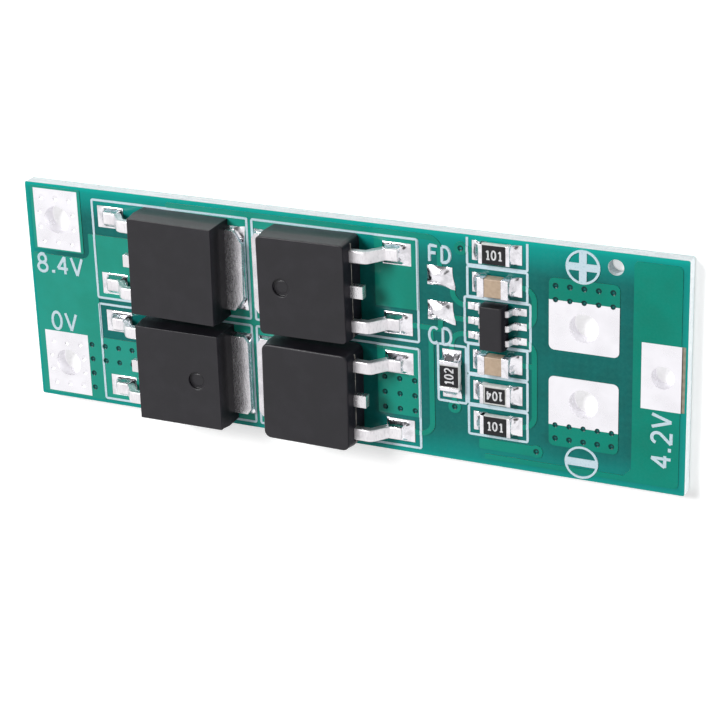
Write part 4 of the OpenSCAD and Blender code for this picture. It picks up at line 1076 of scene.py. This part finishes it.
def protection_chip():
    ic_body("protection_chip_body")
    soften("protection_chip_leads", IC_LEAD_EDGE)
    centre = middle("protection_chip_body")
    parts = []
    for side in (0, 180):
        place = turned_place(centre.x, centre.y, side)
        parts += [ic_fillet(place, k * IC_PITCH, 5.3 * k + side) for k in (-1, 0, 1)]
    finish_solder("protection_chip_solder", parts)


# ---------- test pads ----------

PAD_L, PAD_W, PAD_H = 1.65, 1.25, 0.3
PAD_STEP = 0.035
# The run-out at the corner: its height, how far it reaches back, and its rounded rim
TAIL_H, TAIL_REACH, TAIL_RIM = 0.1, 0.55, 0.12


def test_pad(name, seed):
    """A pillow of solder that runs out to a point at its lower right corner."""
    low, high = low_high(name)
    half_l, half_w = PAD_L / 2, PAD_W / 2
    cx, cy = low.x + half_l, high.y - half_w
    past_x, past_y = high.x - (cx + half_l), low.y - (cy - half_w)

    def drawn_out(x, y):
        """The pad's grid, its lower right corner pulled to the tip."""
        right, down = (x + half_l) / PAD_L, (half_w - y) / PAD_W
        share = min(right / 0.86, 1.0) ** 5 * min(down / 0.8, 1.0) ** 3
        return cx + x + share * past_x, cy + y + share * past_y

    def level(x, y):
        """The higher of the pillow's crown and the run-out, uneven."""
        crown = PAD_H * max(1 - (x / half_l) ** 2, 0.0) * max(1 - (y / half_w) ** 2, 0.0)
        from_x, from_y = half_l - x, y + half_w
        fade = max(1 - math.hypot(from_x, from_y) / TAIL_REACH, 0.0)
        rim = min(from_x / TAIL_RIM, from_y / TAIL_RIM, 1.0)
        run_out = TAIL_H * fade ** 0.5 * rim ** 0.5
        return SOLDER_RIM + max(crown, run_out) * lumpy(x, y, seed, (0.25, 1.6), (0.1, 4.4))
    area = (-half_l, half_l, -half_w, half_w)
    mesh = field_mesh(name, *grid(area, PAD_STEP), level, drawn_out)
    smooth_mesh(mesh, SOLDER_ANGLE)
    finish_node(name, mesh)


def finished_parts():
    transistors()
    resistors()
    capacitors()
    protection_chip()
    test_pad("discharge_test_pad", seed=2.3)
    test_pad("charge_test_pad", seed=7.9)


# ---------- studio ----------

def camera():
    """The photograph's view: from above the balance end and the upper edge, rolled."""
    data = bpy.data.cameras.new("view")
    data.lens = 113.75
    data.clip_start = 0.005
    right = Vector((0.908994, -0.029703, -0.415750))
    up = Vector((-0.133684, 0.923986, -0.358299))
    back = Vector((0.394790, 0.381271, 0.835927))
    turn = Matrix((right, up, back)).transposed().to_4x4()
    place = Vector((57.605, 52.680, 119.200 + Z_MASK)) * MM
    obj = new_object("view", data)
    obj.matrix_world = Matrix.Translation(place) @ turn
    bpy.context.scene.camera = obj


def seen_directly(tree):
    """1 for rays from the camera, off metal or through glass; 0 for the light on the object."""
    path = tree.node("LightPath").outputs
    mirrored = tree.math("MAXIMUM", path["Is Camera Ray"], path["Is Glossy Ray"])
    return tree.math("MAXIMUM", mirrored, path["Is Transmission Ray"])


# Dark spots that bright metal mirrors, where the photograph's camera stood and low behind the
# board: direction, cosine where the spot starts and where it is full, and share of light lost
DARK_SPOTS = (
    ((0.42, 0.42, 0.80), 0.87, 0.965, 0.9),
    ((-0.40, 0.86, 0.24), 0.62, 0.9, 0.85),
)
WORLD_LIGHT = 0.24


def dark_spots(tree):
    """Strength of the studio by direction, as metal mirrors it."""
    toward = tree.node("TexCoord").outputs["Generated"]
    strength = 1.0
    for direction, start, full, lost in DARK_SPOTS:
        facing = tree.node("VectorMath")
        facing.operation = "DOT_PRODUCT"
        tree.feed(facing.inputs[0], toward)
        tree.feed(facing.inputs[1], Vector(direction).normalized())
        spot = tree.ramp(facing.outputs["Value"], start, full, 1.0, 1.0 - lost)
        strength = tree.times(strength, spot)
    return strength


def world():
    """White where it is seen, with dark spots in metal, and WORLD_LIGHT on the object."""
    studio_world = bpy.data.worlds.new("studio")
    studio_world.use_nodes = True
    bpy.context.scene.world = studio_world
    tree = Tree(studio_world.node_tree)
    level = tree.ramp(seen_directly(tree), 0.0, 1.0, WORLD_LIGHT, 1.0)
    in_metal = tree.node("LightPath").outputs["Is Glossy Ray"]
    mirrored = tree.ramp(in_metal, 0.0, 1.0, 1.0, dark_spots(tree))
    background = tree.nodes["Background"].inputs
    tree.feed(background["Color"], (1, 1, 1, 1))
    tree.feed(background["Strength"], tree.times(level, mirrored))


FLOOR_HALF, FLOOR_DROP = 2.0, 0.01 * MM
FLOOR_LIFT = 0.45


def floor_material():
    """Pale and matt, lifted to white where it is seen, so that it keeps the object's shadow."""
    material = bpy.data.materials.new("pale_floor")
    material.use_nodes = True
    tree = Tree(material.node_tree)
    shader = tree.nodes["Principled BSDF"].inputs
    tree.feed(shader["Base Color"], (0.82, 0.82, 0.82, 1))
    tree.feed(shader["Roughness"], 0.9)
    tree.feed(shader["Specular IOR Level"], 0.0)
    tree.feed(shader["Emission Color"], (1, 1, 1, 1))
    tree.feed(shader["Emission Strength"], tree.times(seen_directly(tree), FLOOR_LIFT))
    return material


def floor():
    """A plain floor just below the board."""
    mesh = bpy.data.meshes.new("floor")
    corners = [(x * FLOOR_HALF, y * FLOOR_HALF, 0) for x, y in ((-1, -1), (1, -1), (1, 1), (-1, 1))]
    mesh.from_pydata(corners, [], [(0, 1, 2, 3)])
    mesh.materials.append(floor_material())
    obj = new_object("floor", mesh)
    obj.location.z = -FLOOR_DROP


def lamp(name, place, size, power):
    """A soft rectangular light that looks at the middle of the board."""
    data = bpy.data.lights.new(name, "AREA")
    data.shape = "RECTANGLE"
    data.size, data.size_y = size
    data.energy = power
    obj = new_object(name, data)
    obj.location = place
    obj.rotation_euler = (-Vector(place)).to_track_quat("-Z", "Y").to_euler()
    return obj


def studio():
    camera()
    world()
    floor()
    lamp("key", place=(-0.27, 0.24, 0.40), size=(0.22, 0.20), power=2.5)
    side = lamp("side", place=(0.34, -0.02, 0.035), size=(0.20, 0.05), power=0.7)
    side.visible_glossy = False
    bpy.context.scene.view_settings.view_transform = "Standard"


dress_cad_nodes()
printed_signs()
finished_parts()
resistor_codes()
studio()
